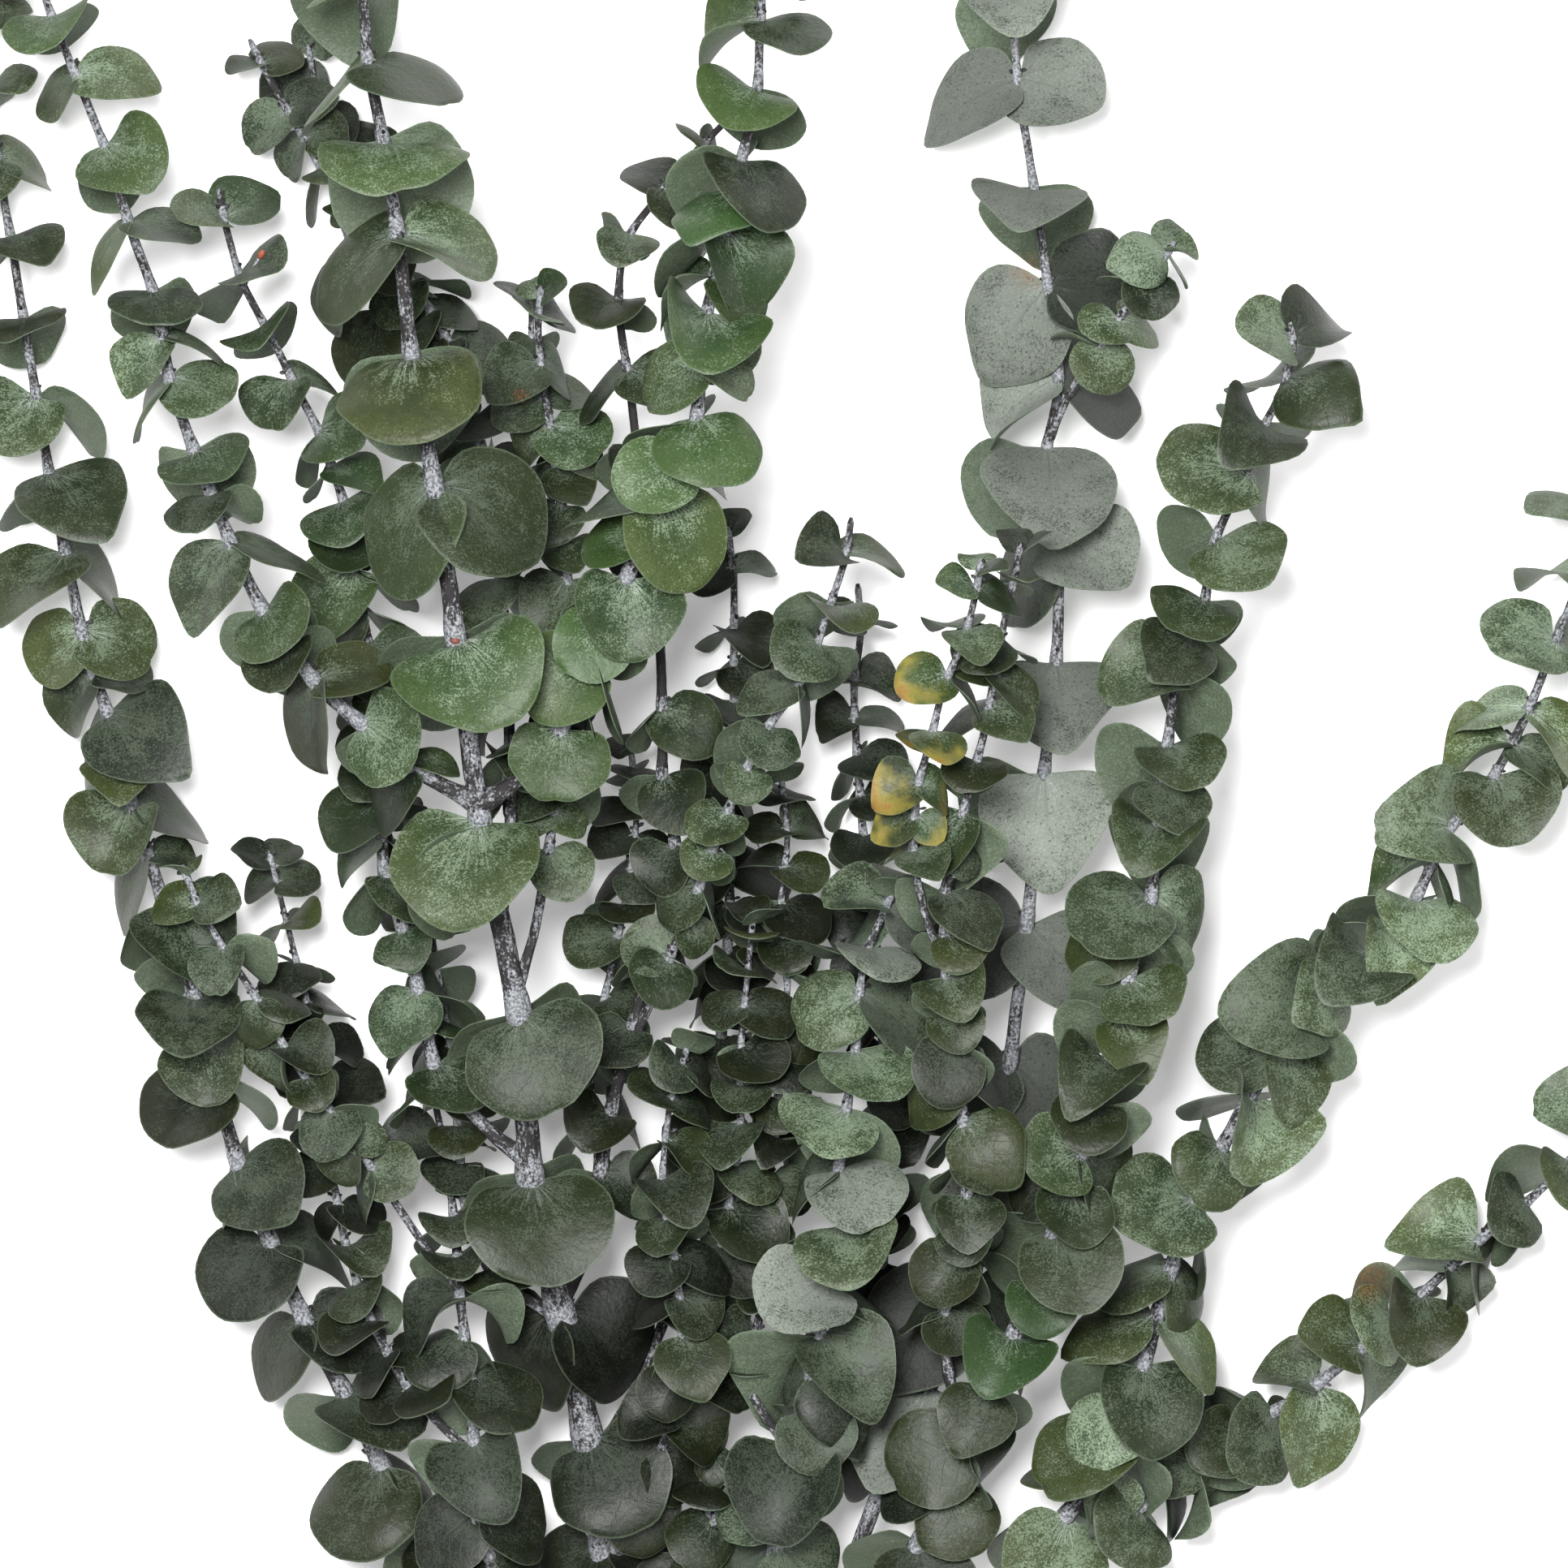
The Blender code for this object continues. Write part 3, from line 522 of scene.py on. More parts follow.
# A route runs from the base, on the parent's axis, to the tip. Past its bare points, each point is a
# node with a leaf pair. A third number there is the pair's own turn round the stem, where 0 puts
# one leaf straight up; elsewhere each pair stands square to the one below. Where pairs have
# dropped, those left still go round the stem evenly.
SHOOTS = [
    Shoot(
        "main_stem", "",
        [(-34, -372), (-41, -340), (-45, -305), (-49, -268), (-53, -231, 100), (-58, -198, 15),
         (-66, -160, 95), (-75, -119, 0), (-78, -70, 20), (-89, -13, -15), (-96, 41, 10),
         (-102, 85, 85), (-109, 124, 0), (-113, 159, 75), (-117, 186, 10), (-122, 210, 60),
         (-124, 233, 0), (-127, 253, 80), (-130, 270, 20), (-132, 284, 90)],
        heights=(4.5, 4.5, 20, 46, 72, 88, 92, 84, 70), radii=(5.2, 1.2), leaf=(43, 16), phase=0,
        bare=4, droop=(134, 50),
    ),
    Shoot(
        "upper_right_shoot", "main_stem",
        [(-88, -6), (-77, 2), (-67, 14), (-57, 35), (-47, 58), (-38, 83, 75), (-26, 105, 30),
         (-23, 135, 5), (-18, 159, 70), (-13, 181, 35), (-8, 202, -10), (-7, 222, 60),
         (-6, 240), (-4, 256), (-2, 269), (-1, 279)],
        heights=(98, 80), radii=(2.4, 1.0), leaf=(31, 13), phase=40, bare=2, droop=(132, 50),
    ),
    Shoot(
        "upper_left_shoot", "main_stem",
        [(-91, -6), (-108, 4), (-122, 16, 5), (-136, 28), (-152, 49, 10), (-162, 69), (-173, 96, 5),
         (-181, 117, 60), (-186, 143, 0), (-194, 165, 85), (-201, 187, 20), (-210, 209, 70),
         (-217, 226, 0), (-223, 243), (-227, 258), (-230, 270)],
        heights=(82, 62, 40, 34), radii=(2.2, 1.0), leaf=(27, 12), phase=85, bare=1,
    ),
    Shoot(
        "left_shoot", "main_stem",
        [(-76, -112), (-85, -105), (-94, -96), (-103, -86), (-108, -63), (-112, -46), (-118, -29),
         (-120, -8), (-121, 15), (-123, 38), (-127, 61), (-130, 81), (-137, 102), (-145, 118),
         (-153, 134), (-161, 149), (-166, 166), (-168, 177)],
        heights=(50, 42), radii=(2.0, 1.0), leaf=(25, 12), phase=40, bare=3, thin=3,
    ),
    Shoot(
        "middle_lower_shoot", "main_stem",
        [(-45, -298), (-29, -273), (-15, -250), (-3, -229, 80), (3, -200, 0), (10, -165, 50),
         (12, -150), (17, -133, 10), (16, -116, 60), (18, -99), (21, -81, 15), (22, -65), (24, -51, 20),
         (29, -39), (33, -30)],
        heights=(56, 60), radii=(2.6, 1.0), leaf=(30, 14), phase=30, bare=3,
    ),
    Shoot(
        "right_shoot", "main_stem",
        [(-40, -338), (-14, -302), (13, -264), (39, -228), (53, -198), (67, -165), (79, -134),
         (87, -111), (95, -84), (101, -60), (108, -36), (110, -15), (113, 9), (116, 30), (124, 52),
         (127, 71), (136, 90), (142, 105), (148, 118), (151, 129), (150, 137)],
        heights=(68, 50), radii=(3.0, 1.0), leaf=(30, 13), phase=35, bare=3, thin=3,
    ),
    Shoot(
        "dark_right_shoot", "right_shoot",
        [(54, -192), (49, -176), (47, -158), (51, -142), (54, -124), (53, -102), (51, -79), (48, -60),
         (47, -34), (52, -11), (56, 4), (60, 20), (63, 39), (67, 57), (70, 71)],
        heights=(80, 76), radii=(1.8, 1.0), leaf=(23, 11), phase=50, bare=2, thin=3,
    ),
    Shoot(
        "yellow_shoot", "dark_right_shoot",
        [(48, -54), (42, -40), (38, -22), (39, -2), (43, 13), (47, 29), (53, 43), (56, 55), (58, 66)],
        heights=(88, 88), radii=(1.2, 1.0), leaf=(17, 10), phase=30, bare=2, droop=(115, 60),
    ),
    Shoot(
        "far_right_shoot", "right_shoot",
        [(-2, -285), (28, -268), (58, -245), (82, -220), (98, -198), (106, -175), (114, -147),
         (121, -126), (137, -95), (155, -69), (171, -53), (187, -36), (197, -15), (210, 0),
         (221, 20), (229, 40), (237, 60), (243, 79), (248, 96), (251, 110)],
        heights=(44, 38, 26), radii=(2.7, 1.0), leaf=(29, 13), phase=40, bare=3, thin=4,
    ),
    Shoot(
        "low_right_shoot", "far_right_shoot",
        [(60, -243), (81, -231), (104, -217), (121, -205), (144, -189), (157, -181), (171, -170),
         (188, -155), (206, -138), (220, -127), (233, -115), (244, -101), (253, -87), (259, -74)],
        heights=(24, 18), radii=(2.1, 1.0), leaf=(26, 13), phase=30, bare=2, thin=4,
    ),
    Shoot(
        "long_left_shoot", "main_stem",
        [(-43, -325), (-64, -290), (-88, -256), (-108, -226), (-119, -206), (-130, -184), (-142, -162),
         (-152, -139), (-162, -115), (-169, -92), (-175, -66), (-184, -38), (-194, -9), (-201, 18),
         (-209, 43), (-214, 66), (-219, 90), (-223, 113), (-227, 137), (-231, 162), (-235, 185),
         (-238, 206), (-241, 225), (-243, 241), (-244, 254)],
        heights=(30, 26, 18), radii=(2.9, 1.0), leaf=(29, 13), phase=35, bare=3, thin=4,
    ),
    Shoot(
        "lower_left_shoot", "main_stem",
        [(-46, -292), (-67, -266), (-83, -243), (-91, -219), (-92, -198), (-93, -179), (-96, -155),
         (-98, -131), (-101, -110), (-104, -95)],
        heights=(46, 32), radii=(2.4, 1.0), leaf=(29, 13), phase=20, bare=2, thin=4,
    ),
    Shoot(
        "left_twig", "lower_left_shoot",
        [(-96, -150), (-109, -134), (-121, -116), (-133, -99), (-147, -80), (-155, -66), (-165, -51),
         (-173, -38), (-179, -24)],
        heights=(48, 42), radii=(1.2, 1.0), leaf=(21, 11), phase=50, bare=2, thin=4,
    ),
    Shoot(
        "grey_shoot", "right_shoot",
        [(12, -262), (19, -238), (28, -212), (42, -182), (55, -152), (62, -120), (67, -85),
         (72, -44, 70), (77, 0, 20), (81, 34, 5), (82, 71, 60), (78, 97, 20), (82, 119, 70),
         (79, 146, 90), (75, 176, 0), (70, 208, 75), (68, 236, 5), (66, 258), (64, 275), (63, 287)],
        heights=(36, 32, 20), radii=(2.5, 1.0), leaf=(38, 16), phase=10, bare=3, droop=(130, 50),
    ),
    Shoot(
        "grey_side_shoot", "grey_shoot",
        [(80, 103), (85, 116), (93, 129), (98, 136), (106, 148), (112, 155), (116, 161)],
        heights=(42, 48), radii=(1.1, 1.0), leaf=(19, 11), phase=60, bare=2,
    ),
    Shoot(
        "dark_shoot", "main_stem",
        [(-65, -154), (-58, -138), (-55, -118), (-52, -100), (-46, -75), (-38, -50), (-32, -21),
         (-36, 0), (-36, 20), (-38, 72), (-43, 97), (-46, 120), (-49, 141), (-47, 160), (-37, 174),
         (-26, 187), (-17, 196)],
        heights=(52, 62), radii=(2.0, 1.0), leaf=(23, 10), phase=60, bare=2, thin=3,
    ),
    Shoot(
        "middle_shoot", "dark_shoot",
        [(-48, -84), (-42, -70), (-35, -54), (-26, -33), (-18, -11), (-6, 15), (3, 27), (9, 39),
         (13, 51), (18, 66), (20, 79)],
        heights=(64, 54), radii=(1.5, 1.0), leaf=(21, 11), phase=30, bare=2, thin=3,
    ),
    Shoot(
        "small_inner_shoot", "main_stem",
        [(-79, -62), (-74, -45), (-70, -22), (-67, 0), (-64, 20), (-63, 38), (-64, 58), (-66, 80),
         (-69, 104), (-72, 122), (-73, 136), (-72, 148)],
        heights=(48, 46), radii=(1.5, 1.0), leaf=(20, 10), phase=50, bare=2, thin=3,
    ),
    Shoot(
        "back_left_shoot", "main_stem",
        [(-84, -38), (-81, -18), (-81, 6), (-82, 32), (-84, 58), (-87, 84), (-92, 108), (-99, 130),
         (-110, 148), (-124, 165), (-137, 182), (-147, 199), (-155, 213), (-160, 223)],
        heights=(24, 18), radii=(1.8, 1.0), leaf=(23, 12), phase=35, bare=2, thin=2,
    ),
    Shoot(
        "back_middle_shoot", "main_stem",
        [(-57, -204), (-45, -182), (-35, -158), (-27, -130), (-22, -104), (-19, -78), (-17, -52),
         (-16, -26), (-16, 0), (-15, 22), (-15, 44), (-15, 62), (-17, 77)],
        heights=(22, 18), radii=(1.8, 1.0), leaf=(24, 12), phase=45, bare=2, thin=2,
    ),
    Shoot(
        "back_right_shoot", "middle_lower_shoot",
        [(-14, -248), (4, -225), (17, -198), (25, -172), (29, -146), (31, -120), (31, -94), (29, -68),
         (27, -42), (24, -18), (22, 6), (21, 28), (23, 46), (22, 60)],
        heights=(20, 18), radii=(1.8, 1.0), leaf=(23, 12), phase=40, bare=2, thin=2,
    ),
]


@dataclass
class Leaf:
    """A round leaf on its stem: u runs from root to tip, v across, and w out of the upper side."""

    root: Vector
    u: Vector
    v: Vector
    w: Vector
    width: float
    length: float
    fold: float
    curl: float
    shade: float = 0.0

    def surface(self, angle, reach):
        """Point of the middle sheet at an angle round the leaf and a part of the way to its edge."""
        along = self.length * (0.5 + 0.5 * reach * math.cos(angle))
        across = 0.5 * self.width * reach * math.sin(angle) * (1 - BROAD_BASE * math.cos(angle))
        lift = abs(across) * self.fold - self.curl * along * along / self.length
        return self.root + self.u * along + self.v * across + self.w * lift

    def corners(self, spare=0.0):
        """Corners of the coarse leaf: the ring of its under side, then the ring of its upper side."""
        sides = 5 + (self.width > MIDDLE_LEAF) + 2 * (self.width > LARGE_LEAF)
        reach = 1 / math.cos(math.pi / sides) ** 0.5 + 2 * spare / self.width
        ring = [self.surface(math.pi + math.tau * k / sides, reach) for k in range(1, sides)]
        ring.insert(0, self.surface(math.pi, 1.0))
        half = self.w * (0.5 * LEAF_THICKNESS + spare)
        return [point - half for point in ring] + [point + half for point in ring]

    def solid(self, spare=0.0):
        """Corners and faces of the coarse leaf, with room to spare round it."""
        corners = self.corners(spare)
        return corners, leaf_faces(len(corners) // 2)

    def middle(self):
        return self.root + self.u * (self.length / 2)

    def raised(self):
        """The leaf as it is, or swung up about its root in small steps until it clears the floor."""
        leaf = self
        lowest = min(leaf.corners(), key=lambda p: p.z)
        while lowest.z < 0:
            hinge = (lowest - leaf.root).cross(UP).normalized()
            turn = Matrix.Rotation(FLOOR_STEP, 3, hinge)
            leaf = replace(leaf, u=turn @ leaf.u, v=turn @ leaf.v, w=turn @ leaf.w)
            lowest = min(leaf.corners(), key=lambda p: p.z)
        return leaf


def leaf_faces(sides):
    """Faces of a coarse leaf. One triangle reaches the root, and the rest fan out from the tip."""
    tip = sides // 2
    fan = [(tip, k, k + 1) for k in range(1, sides - 1) if tip not in (k, k + 1)]
    sheet = [(0, 1, sides - 1), (tip, sides - 1, 1)] + fan
    under = [(a, c, b) for a, b, c in sheet]
    upper = [(a + sides, b + sides, c + sides) for a, b, c in sheet]
    rim = [(k, (k + 1) % sides, (k + 1) % sides + sides, k + sides) for k in range(sides)]
    return under + upper + rim


def from_photo(x, y):
    """Place in metres of a place in the photo's frame, in millimetres."""
    return (x - ORIGIN[0]) * MM, (y - ORIGIN[1]) * MM


def in_photo(point):
    """Place in the photo's frame, in millimetres, of a point in metres."""
    return point.x / MM + ORIGIN[0], point.y / MM + ORIGIN[1]


def spline(values, k, t):
    """Smooth curve through evenly spaced values, a part t of the way from the k-th to the next."""
    a = values[max(k - 1, 0)]
    b, c = values[k], values[k + 1]
    d = values[min(k + 2, len(values) - 1)]
    return b + 0.5 * t * (c - a + t * (2 * a - 5 * b + 4 * c - d + t * (3 * (b - c) + d - a)))


def nearest_on(axis, x, y):
    """Point of an axis, seen from above, that lies nearest to x, y, with its radius."""
    best = None
    for (p, radius), (q, _) in zip(axis, axis[1:]):
        run = q - p
        flat = run.x * run.x + run.y * run.y
        t = ((x - p.x) * run.x + (y - p.y) * run.y) / flat
        point = p + run * min(max(t, 0.0), 1.0)
        far = math.hypot(x - point.x, y - point.y)
        if best is None or far < best[0]:
            best = (far, point, radius)
    return best[1:]


def lay_axis(shoot, shoots):
    """Points and radii of a stem's axis, from the route seen from above and the heights along it."""
    flat = [from_photo(*point[:2]) for point in shoot.route]
    heights = [h * MM for h in shoot.heights]
    if shoot.parent:
        base, parent_radius = nearest_on(shoots[shoot.parent].axis, *flat[0])
        shoot.buried = FORK_DEPTH * parent_radius
        flat[0] = (base.x, base.y)
        heights.insert(0, base.z)
    runs = [0.0]
    for p, q in zip(flat, flat[1:]):
        runs.append(runs[-1] + math.dist(p, q))
    thick, thin = (r * MM for r in shoot.radii)
    last = len(heights) - 1
    for (x, y), run in zip(flat, runs):
        s = run / runs[-1]
        k = min(int(s * last), last - 1)
        z = max(spline(heights, k, s * last - k), REST_HEIGHT)
        shoot.axis.append((Vector((x, y, z)), thick + (thin - thick) * s))


def extent(points):
    """Lowest and highest coordinates of some points."""
    low = [min(p[i] for p in points) for i in range(3)]
    high = [max(p[i] for p in points) for i in range(3)]
    return low, high


class Space:
    """The stems and leaves that stand already."""

    def __init__(self, leaves=()):
        self.items = []
        for name in leaves:
            for leaf in leaves[name]:
                self.add(name, leaf)

    def add(self, owner, thing):
        """Set a leaf or a stem among the others."""
        points, faces = thing.solid()
        self.items.append((owner, *extent(points), BVHTree.FromPolygons(points, faces)))

    def cuts(self, points, faces):
        """Owner of each thing that the given solid would cut."""
        low, high = extent(points)
        tree = BVHTree.FromPolygons(points, faces)
        owners = []
        for owner, other_low, other_high, other in self.items:
            apart = any(low[i] > other_high[i] or high[i] < other_low[i] for i in range(3))
            if not apart and tree.overlap(other):
                owners.append(owner)
        return owners

    def near(self, point, reach):
        """What stands within reach of a point."""
        part = Space()
        for item in self.items:
            _, low, high, _ = item
            if all(low[i] - reach < point[i] < high[i] + reach for i in range(3)):
                part.items.append(item)
        return part


@dataclass
class Node:
    """Where a leaf pair grows: depth is the way out to the bark, s the part of the way up the shoot."""

    point: Vector
    depth: float
    along: Vector
    turn: float
    s: float
    size: float = 1.0


def bends():
    """Ways to bend a leaf clear, as cost, turn, droop and size, the slightest first."""
    ways = []
    for turn in BEND_TURNS:
        for droop in BEND_DROOPS:
            for size in BEND_SIZES:
                cost = (abs(turn) + abs(droop)) / BEND_STEP + (1 - size) * SIZE_COST
                ways.append((cost, turn, droop, size))
    return sorted(ways)


def leaf_at(node, turn, droop, roll, width, shape):
    """A leaf at a node, whose turn round the stem and droop from it say where it points.

    A leaf beside the stem rolls its upper side to the light above.
    """
    along = node.along
    ahead = (UP - along * along.dot(UP)).normalized()
    side = along.cross(ahead)
    out = ahead * math.cos(turn) + side * math.sin(turn)
    u = along * math.cos(droop) + out * math.sin(droop)
    w = (along - u * along.dot(u)).normalized()
    v = w.cross(u)
    tilt = Matrix.Rotation(roll - LIGHT_ROLL * v.z, 3, u)
    root = node.point + out * max(0.0, node.depth - LEAF_SUNK)
    ratio, fold, curl = shape
    return Leaf(root, u, tilt @ v, tilt @ w, width, width * ratio, fold, curl).raised()


def bent_leaves(shoot, node, side, draw):
    """One leaf of a pair in each way that it may be bent, with its cost, the slightest bend first."""
    width, droop = shoot.pair_size(node.s)
    turn = node.turn + side + draw.uniform(-TURN_SPREAD, TURN_SPREAD)
    droop += draw.uniform(-DROOP_SPREAD, DROOP_SPREAD)
    roll = math.radians(draw.uniform(-ROLL_SPREAD, ROLL_SPREAD))
    width *= node.size
    width *= draw.uniform(*WIDTH_RANGE)
    shape = (draw.uniform(*LENGTH_RANGE), draw.uniform(*FOLD_RANGE), draw.uniform(*CURL_RANGE))
    for cost, more_turn, more_droop, size in bends():
        bent_turn = math.radians(turn + more_turn)
        bent_droop = math.radians(min(droop + more_droop, MOST_DROOP))
        yield cost, leaf_at(node, bent_turn, bent_droop, roll, width * size, shape)


def bent_clear(name, space, trials):
    """The slightest bend that keeps a leaf clear, or nothing where there is no room."""
    own_only = None
    for cost, leaf in trials:
        if own_only and cost > OWN_CLASH_COST:
            return own_only
        met = set(space.cuts(*leaf.solid(LEAF_CLEARANCE)))
        if not met:
            return leaf
        if met == {name} and own_only is None:
            own_only = leaf
    return own_only


def grow_leaves(shoot, number, space):
    """Leaf pairs of a shoot, each leaf bent clear of every other shoot, and of its own if it can."""
    draw = random.Random(number)
    turns = shoot.turns()
    leaves = []
    for here in range(shoot.bare, len(shoot.route)):
        if shoot.fallen(here):
            continue
        point, radius, along = shoot.node_at(here)
        depth = radius * math.cos(math.pi / shoot.sides)
        node = Node(point, depth, along, turns[here], shoot.height_share(here))
        pair = []
        for side in PAIR_TURNS:
            leaf = bent_clear(shoot.name, space, bent_leaves(shoot, node, side, draw))
            if leaf:
                pair.append(leaf)
        for leaf in pair:
            space.add(shoot.name, leaf)
        leaves += pair
    return leaves


def grow():
    """All shoots by name with their axes laid, and the leaves of each."""
    shoots = {shoot.name: shoot for shoot in SHOOTS}
    for shoot in SHOOTS:
        lay_axis(shoot, shoots)
    leaves = {}
    for number, shoot in enumerate(SHOOTS):
        space = Space(leaves)
        for other in SHOOTS:
            if other is not shoot:
                space.add(other.name, other)
        leaves[shoot.name] = grow_leaves(shoot, number, space)
    return shoots, leaves


@dataclass
class Look:
    """How the leaves and the bark of a shoot look; spacing is the least room for one more pair."""

    slot: str = "green_foliage"
    bloom: float = 0.45
    olive: float = 0.45
    light: float = 1.0
    vivid: float = 0.15
    age: float = 0.0
    pointed: float = 0.2
    cup: float = 0.05
    short: float = 0.9
    bent: float = 0.2
    level: float = 0.0
    size: float = 1.05
    tip_size: float = 1.0
    foot_size: float = 1.0
    bark: float = 0.5
    spacing: float = 12.5


# A shoot's light scales its leaves' colour: the lower values of the inner and back shoots are painted
# shade.
LOOKS = {
    "main_stem": Look(bloom=0.3, olive=0.65, light=0.95, vivid=0.4, pointed=0.0, cup=0.08, short=0.86,
                      foot_size=0.78, bark=0.62, spacing=80),
    "upper_right_shoot": Look(bloom=0.35, olive=0.3, vivid=0.7, size=1.08, bark=0.6, spacing=15),
    "upper_left_shoot": Look(bloom=0.4, vivid=0.45, size=1.12, bark=0.4, spacing=17),
    "left_shoot": Look(bloom=0.35, olive=0.2, vivid=0.65, size=1.1, tip_size=1.2),
    "middle_lower_shoot": Look(bloom=0.72, olive=0.25, light=1.2, level=0.15, size=1.15, bark=0.4,
                               spacing=14),
    "right_shoot": Look(bloom=0.35, olive=0.55, light=0.78, vivid=0.3, level=0.4, size=1.06,
                        tip_size=1.3, bark=0.7, spacing=15),
    "dark_right_shoot": Look(bloom=0.25, light=0.7, bark=0.7),
    "yellow_shoot": Look(slot="yellow_foliage", bloom=0.25, vivid=0.7, age=0.52, pointed=0.7,
                         size=1.15),
    "far_right_shoot": Look(bloom=0.5, olive=0.55, light=1.4, pointed=0.5, bent=0.5, size=1.22,
                            bark=0.62, spacing=15),
    "low_right_shoot": Look(olive=0.6, light=1.05, bent=0.45, level=0.1, size=1.16, spacing=14),
    "long_left_shoot": Look(bloom=0.4, light=0.85, level=0.15, size=1.16, bark=0.6, spacing=17.5),
    "lower_left_shoot": Look(bloom=0.5, light=0.8, bent=0.5, size=0.98, bark=0.62, spacing=15),
    "grey_shoot": Look(slot="grey_foliage", bloom=1.0, olive=0.1, light=0.8, vivid=0.0, pointed=0.8,
                       bent=0.05, level=0.35, bark=0.4, spacing=60),
    "dark_shoot": Look(bloom=0.25, light=0.8, bark=0.95, spacing=40),
    "middle_shoot": Look(light=0.85, vivid=0.35, tip_size=1.2),
    "small_inner_shoot": Look(bloom=0.4, vivid=0.4, level=0.3, size=1.1, tip_size=1.2),
    "back_left_shoot": Look(light=0.8),
    "back_middle_shoot": Look(bloom=0.3, light=0.6),
    "back_right_shoot": Look(bloom=0.3, light=0.6),
    "inner_twig_3": Look(bloom=0.35, light=0.75),
    "back_twig_1": Look(light=0.85, spacing=15),
}
for twig_number in (1, 2, 4, 5, 6, 7):
    LOOKS[f"inner_twig_{twig_number}"] = Look(bloom=0.3, light=0.8)


def look_of(shoot):
    return LOOKS.get(shoot.name, Look())


# Twigs that have no coarse form. They fill the inside of the branch.
TWIGS = [
    Shoot(
        "inner_twig_1", "main_stem",
        [(-53, -231), (-42, -212), (-34, -190), (-30, -166), (-32, -142), (-36, -120), (-34, -96),
         (-28, -76)],
        heights=(58, 44), radii=(1.5, 0.8), leaf=(25, 14), phase=20,
    ),
    Shoot(
        "inner_twig_2", "middle_lower_shoot",
        [(-12, -245), (-12, -222), (-16, -198), (-18, -174), (-12, -150), (-8, -128), (-4, -104),
         (-4, -80), (-2, -58), (0, -38)],
        heights=(42, 40), radii=(1.5, 0.8), leaf=(25, 14), phase=50,
    ),
    Shoot(
        "inner_twig_3", "lower_left_shoot",
        [(-92, -200), (-104, -182), (-116, -162), (-124, -140), (-129, -116), (-132, -92), (-136, -68),
         (-142, -44), (-148, -20)],
        heights=(26, 22), radii=(1.4, 0.8), leaf=(25, 14), phase=35,
    ),
    Shoot(
        "inner_twig_4", "main_stem",
        [(-66, -160), (-78, -146), (-86, -126), (-88, -104), (-90, -80), (-94, -58), (-98, -34),
         (-104, -10)],
        heights=(38, 26), radii=(1.4, 0.8), leaf=(23, 13), phase=10,
    ),
    Shoot(
        "right_twig_2", "low_right_shoot",
        [(104, -217), (122, -209), (142, -199), (160, -190)],
        heights=(14, 12), radii=(1.4, 0.8), leaf=(24, 13), phase=40,
    ),
    Shoot(
        "inner_twig_5", "main_stem",
        [(-49, -268), (-40, -250), (-28, -232), (-22, -212), (-24, -190), (-22, -166)],
        heights=(30, 24), radii=(1.4, 0.8), leaf=(25, 14), phase=70,
    ),
    Shoot(
        "inner_twig_6", "dark_shoot",
        [(-55, -118), (-62, -102), (-64, -84), (-60, -66), (-56, -48), (-52, -28), (-50, -8),
         (-52, 12)],
        heights=(36, 30), radii=(1.3, 0.8), leaf=(23, 13), phase=60,
    ),
    Shoot(
        "inner_twig_7", "middle_lower_shoot",
        [(3, -200), (-2, -178), (2, -156), (2, -132), (6, -108), (8, -84), (10, -60), (8, -38),
         (10, -16), (8, 4)],
        heights=(36, 30), radii=(1.4, 0.8), leaf=(23, 13), phase=15,
    ),
    Shoot(
        "inner_twig_8", "small_inner_shoot",
        [(-66, 80), (-74, 96), (-80, 112), (-84, 130), (-84, 146)],
        heights=(40, 38), radii=(1.1, 0.8), leaf=(21, 14), phase=15,
    ),
    Shoot(
        "back_twig_1", "back_left_shoot",
        [(-92, 108), (-104, 124), (-116, 140), (-126, 158), (-132, 178), (-136, 200), (-140, 222)],
        heights=(16, 14), radii=(1.3, 0.8), leaf=(29, 18), phase=15,
    ),
]


def threaded(twig, shoots, space):
    """A twig laid where its stem cuts the fewest leaves, at its own place or a little beside it."""
    fewest, best = None, None
    for lift in THREAD_LIFTS:
        heights = tuple(height + lift for height in twig.heights)
        for shift in THREAD_SHIFTS:
            route = twig.route[:1] + [(x + shift, y) for x, y in twig.route[1:]]
            trial = replace(twig, route=route, heights=heights, axis=[])
            lay_axis(trial, shoots)
            cuts = len(space.cuts(*trial.solid()))
            if not cuts:
                return trial
            if fewest is None or cuts < fewest:
                fewest, best = cuts, trial
    return best


def extra_nodes(shoot, has_coarse):
    """Nodes of leaves that have no coarse form: fallen pairs, more pairs between, or all of a twig."""
    spacing = look_of(shoot).spacing * MM
    turns = shoot.turns()
    last = len(shoot.route) - 1
    nodes = []
    for here in range(shoot.bare, last):
        s = shoot.height_share(here)
        place, radius, along = shoot.node_at(here)
        if shoot.fallen(here) or not has_coarse:
            nodes.append(Node(place, radius, along, turns[here], s, FALLEN_SIZE))
        point = shoot.axis[here][0]
        ahead, next_radius = shoot.axis[here + 1]
        more = round((ahead - point).length / spacing) - 1
        for k in range(1, more + 1):
            part = k / (more + 1)
            between = point.lerp(ahead, part) + along * LEAF_RISE
            girth = radius + (next_radius - radius) * part
            nodes.append(Node(between, girth, along, turns[here] + 90 * part, s, BETWEEN_SIZE))
    if not has_coarse:
        nodes.append(Node(*shoot.node_at(last), turns[last], 1.0))
    return nodes


def squeezed_in(own_stem, space, box, trials):
    """A leaf, inside the box, where it cuts nothing but its own stem, or nothing."""
    for _, leaf in trials:
        corners, faces = leaf.solid()
        inside = all(box[0][i] < p[i] < box[1][i] for p in corners for i in range(3))
        if inside and set(space.cuts(corners, faces)) <= {own_stem}:
            return leaf
    return None


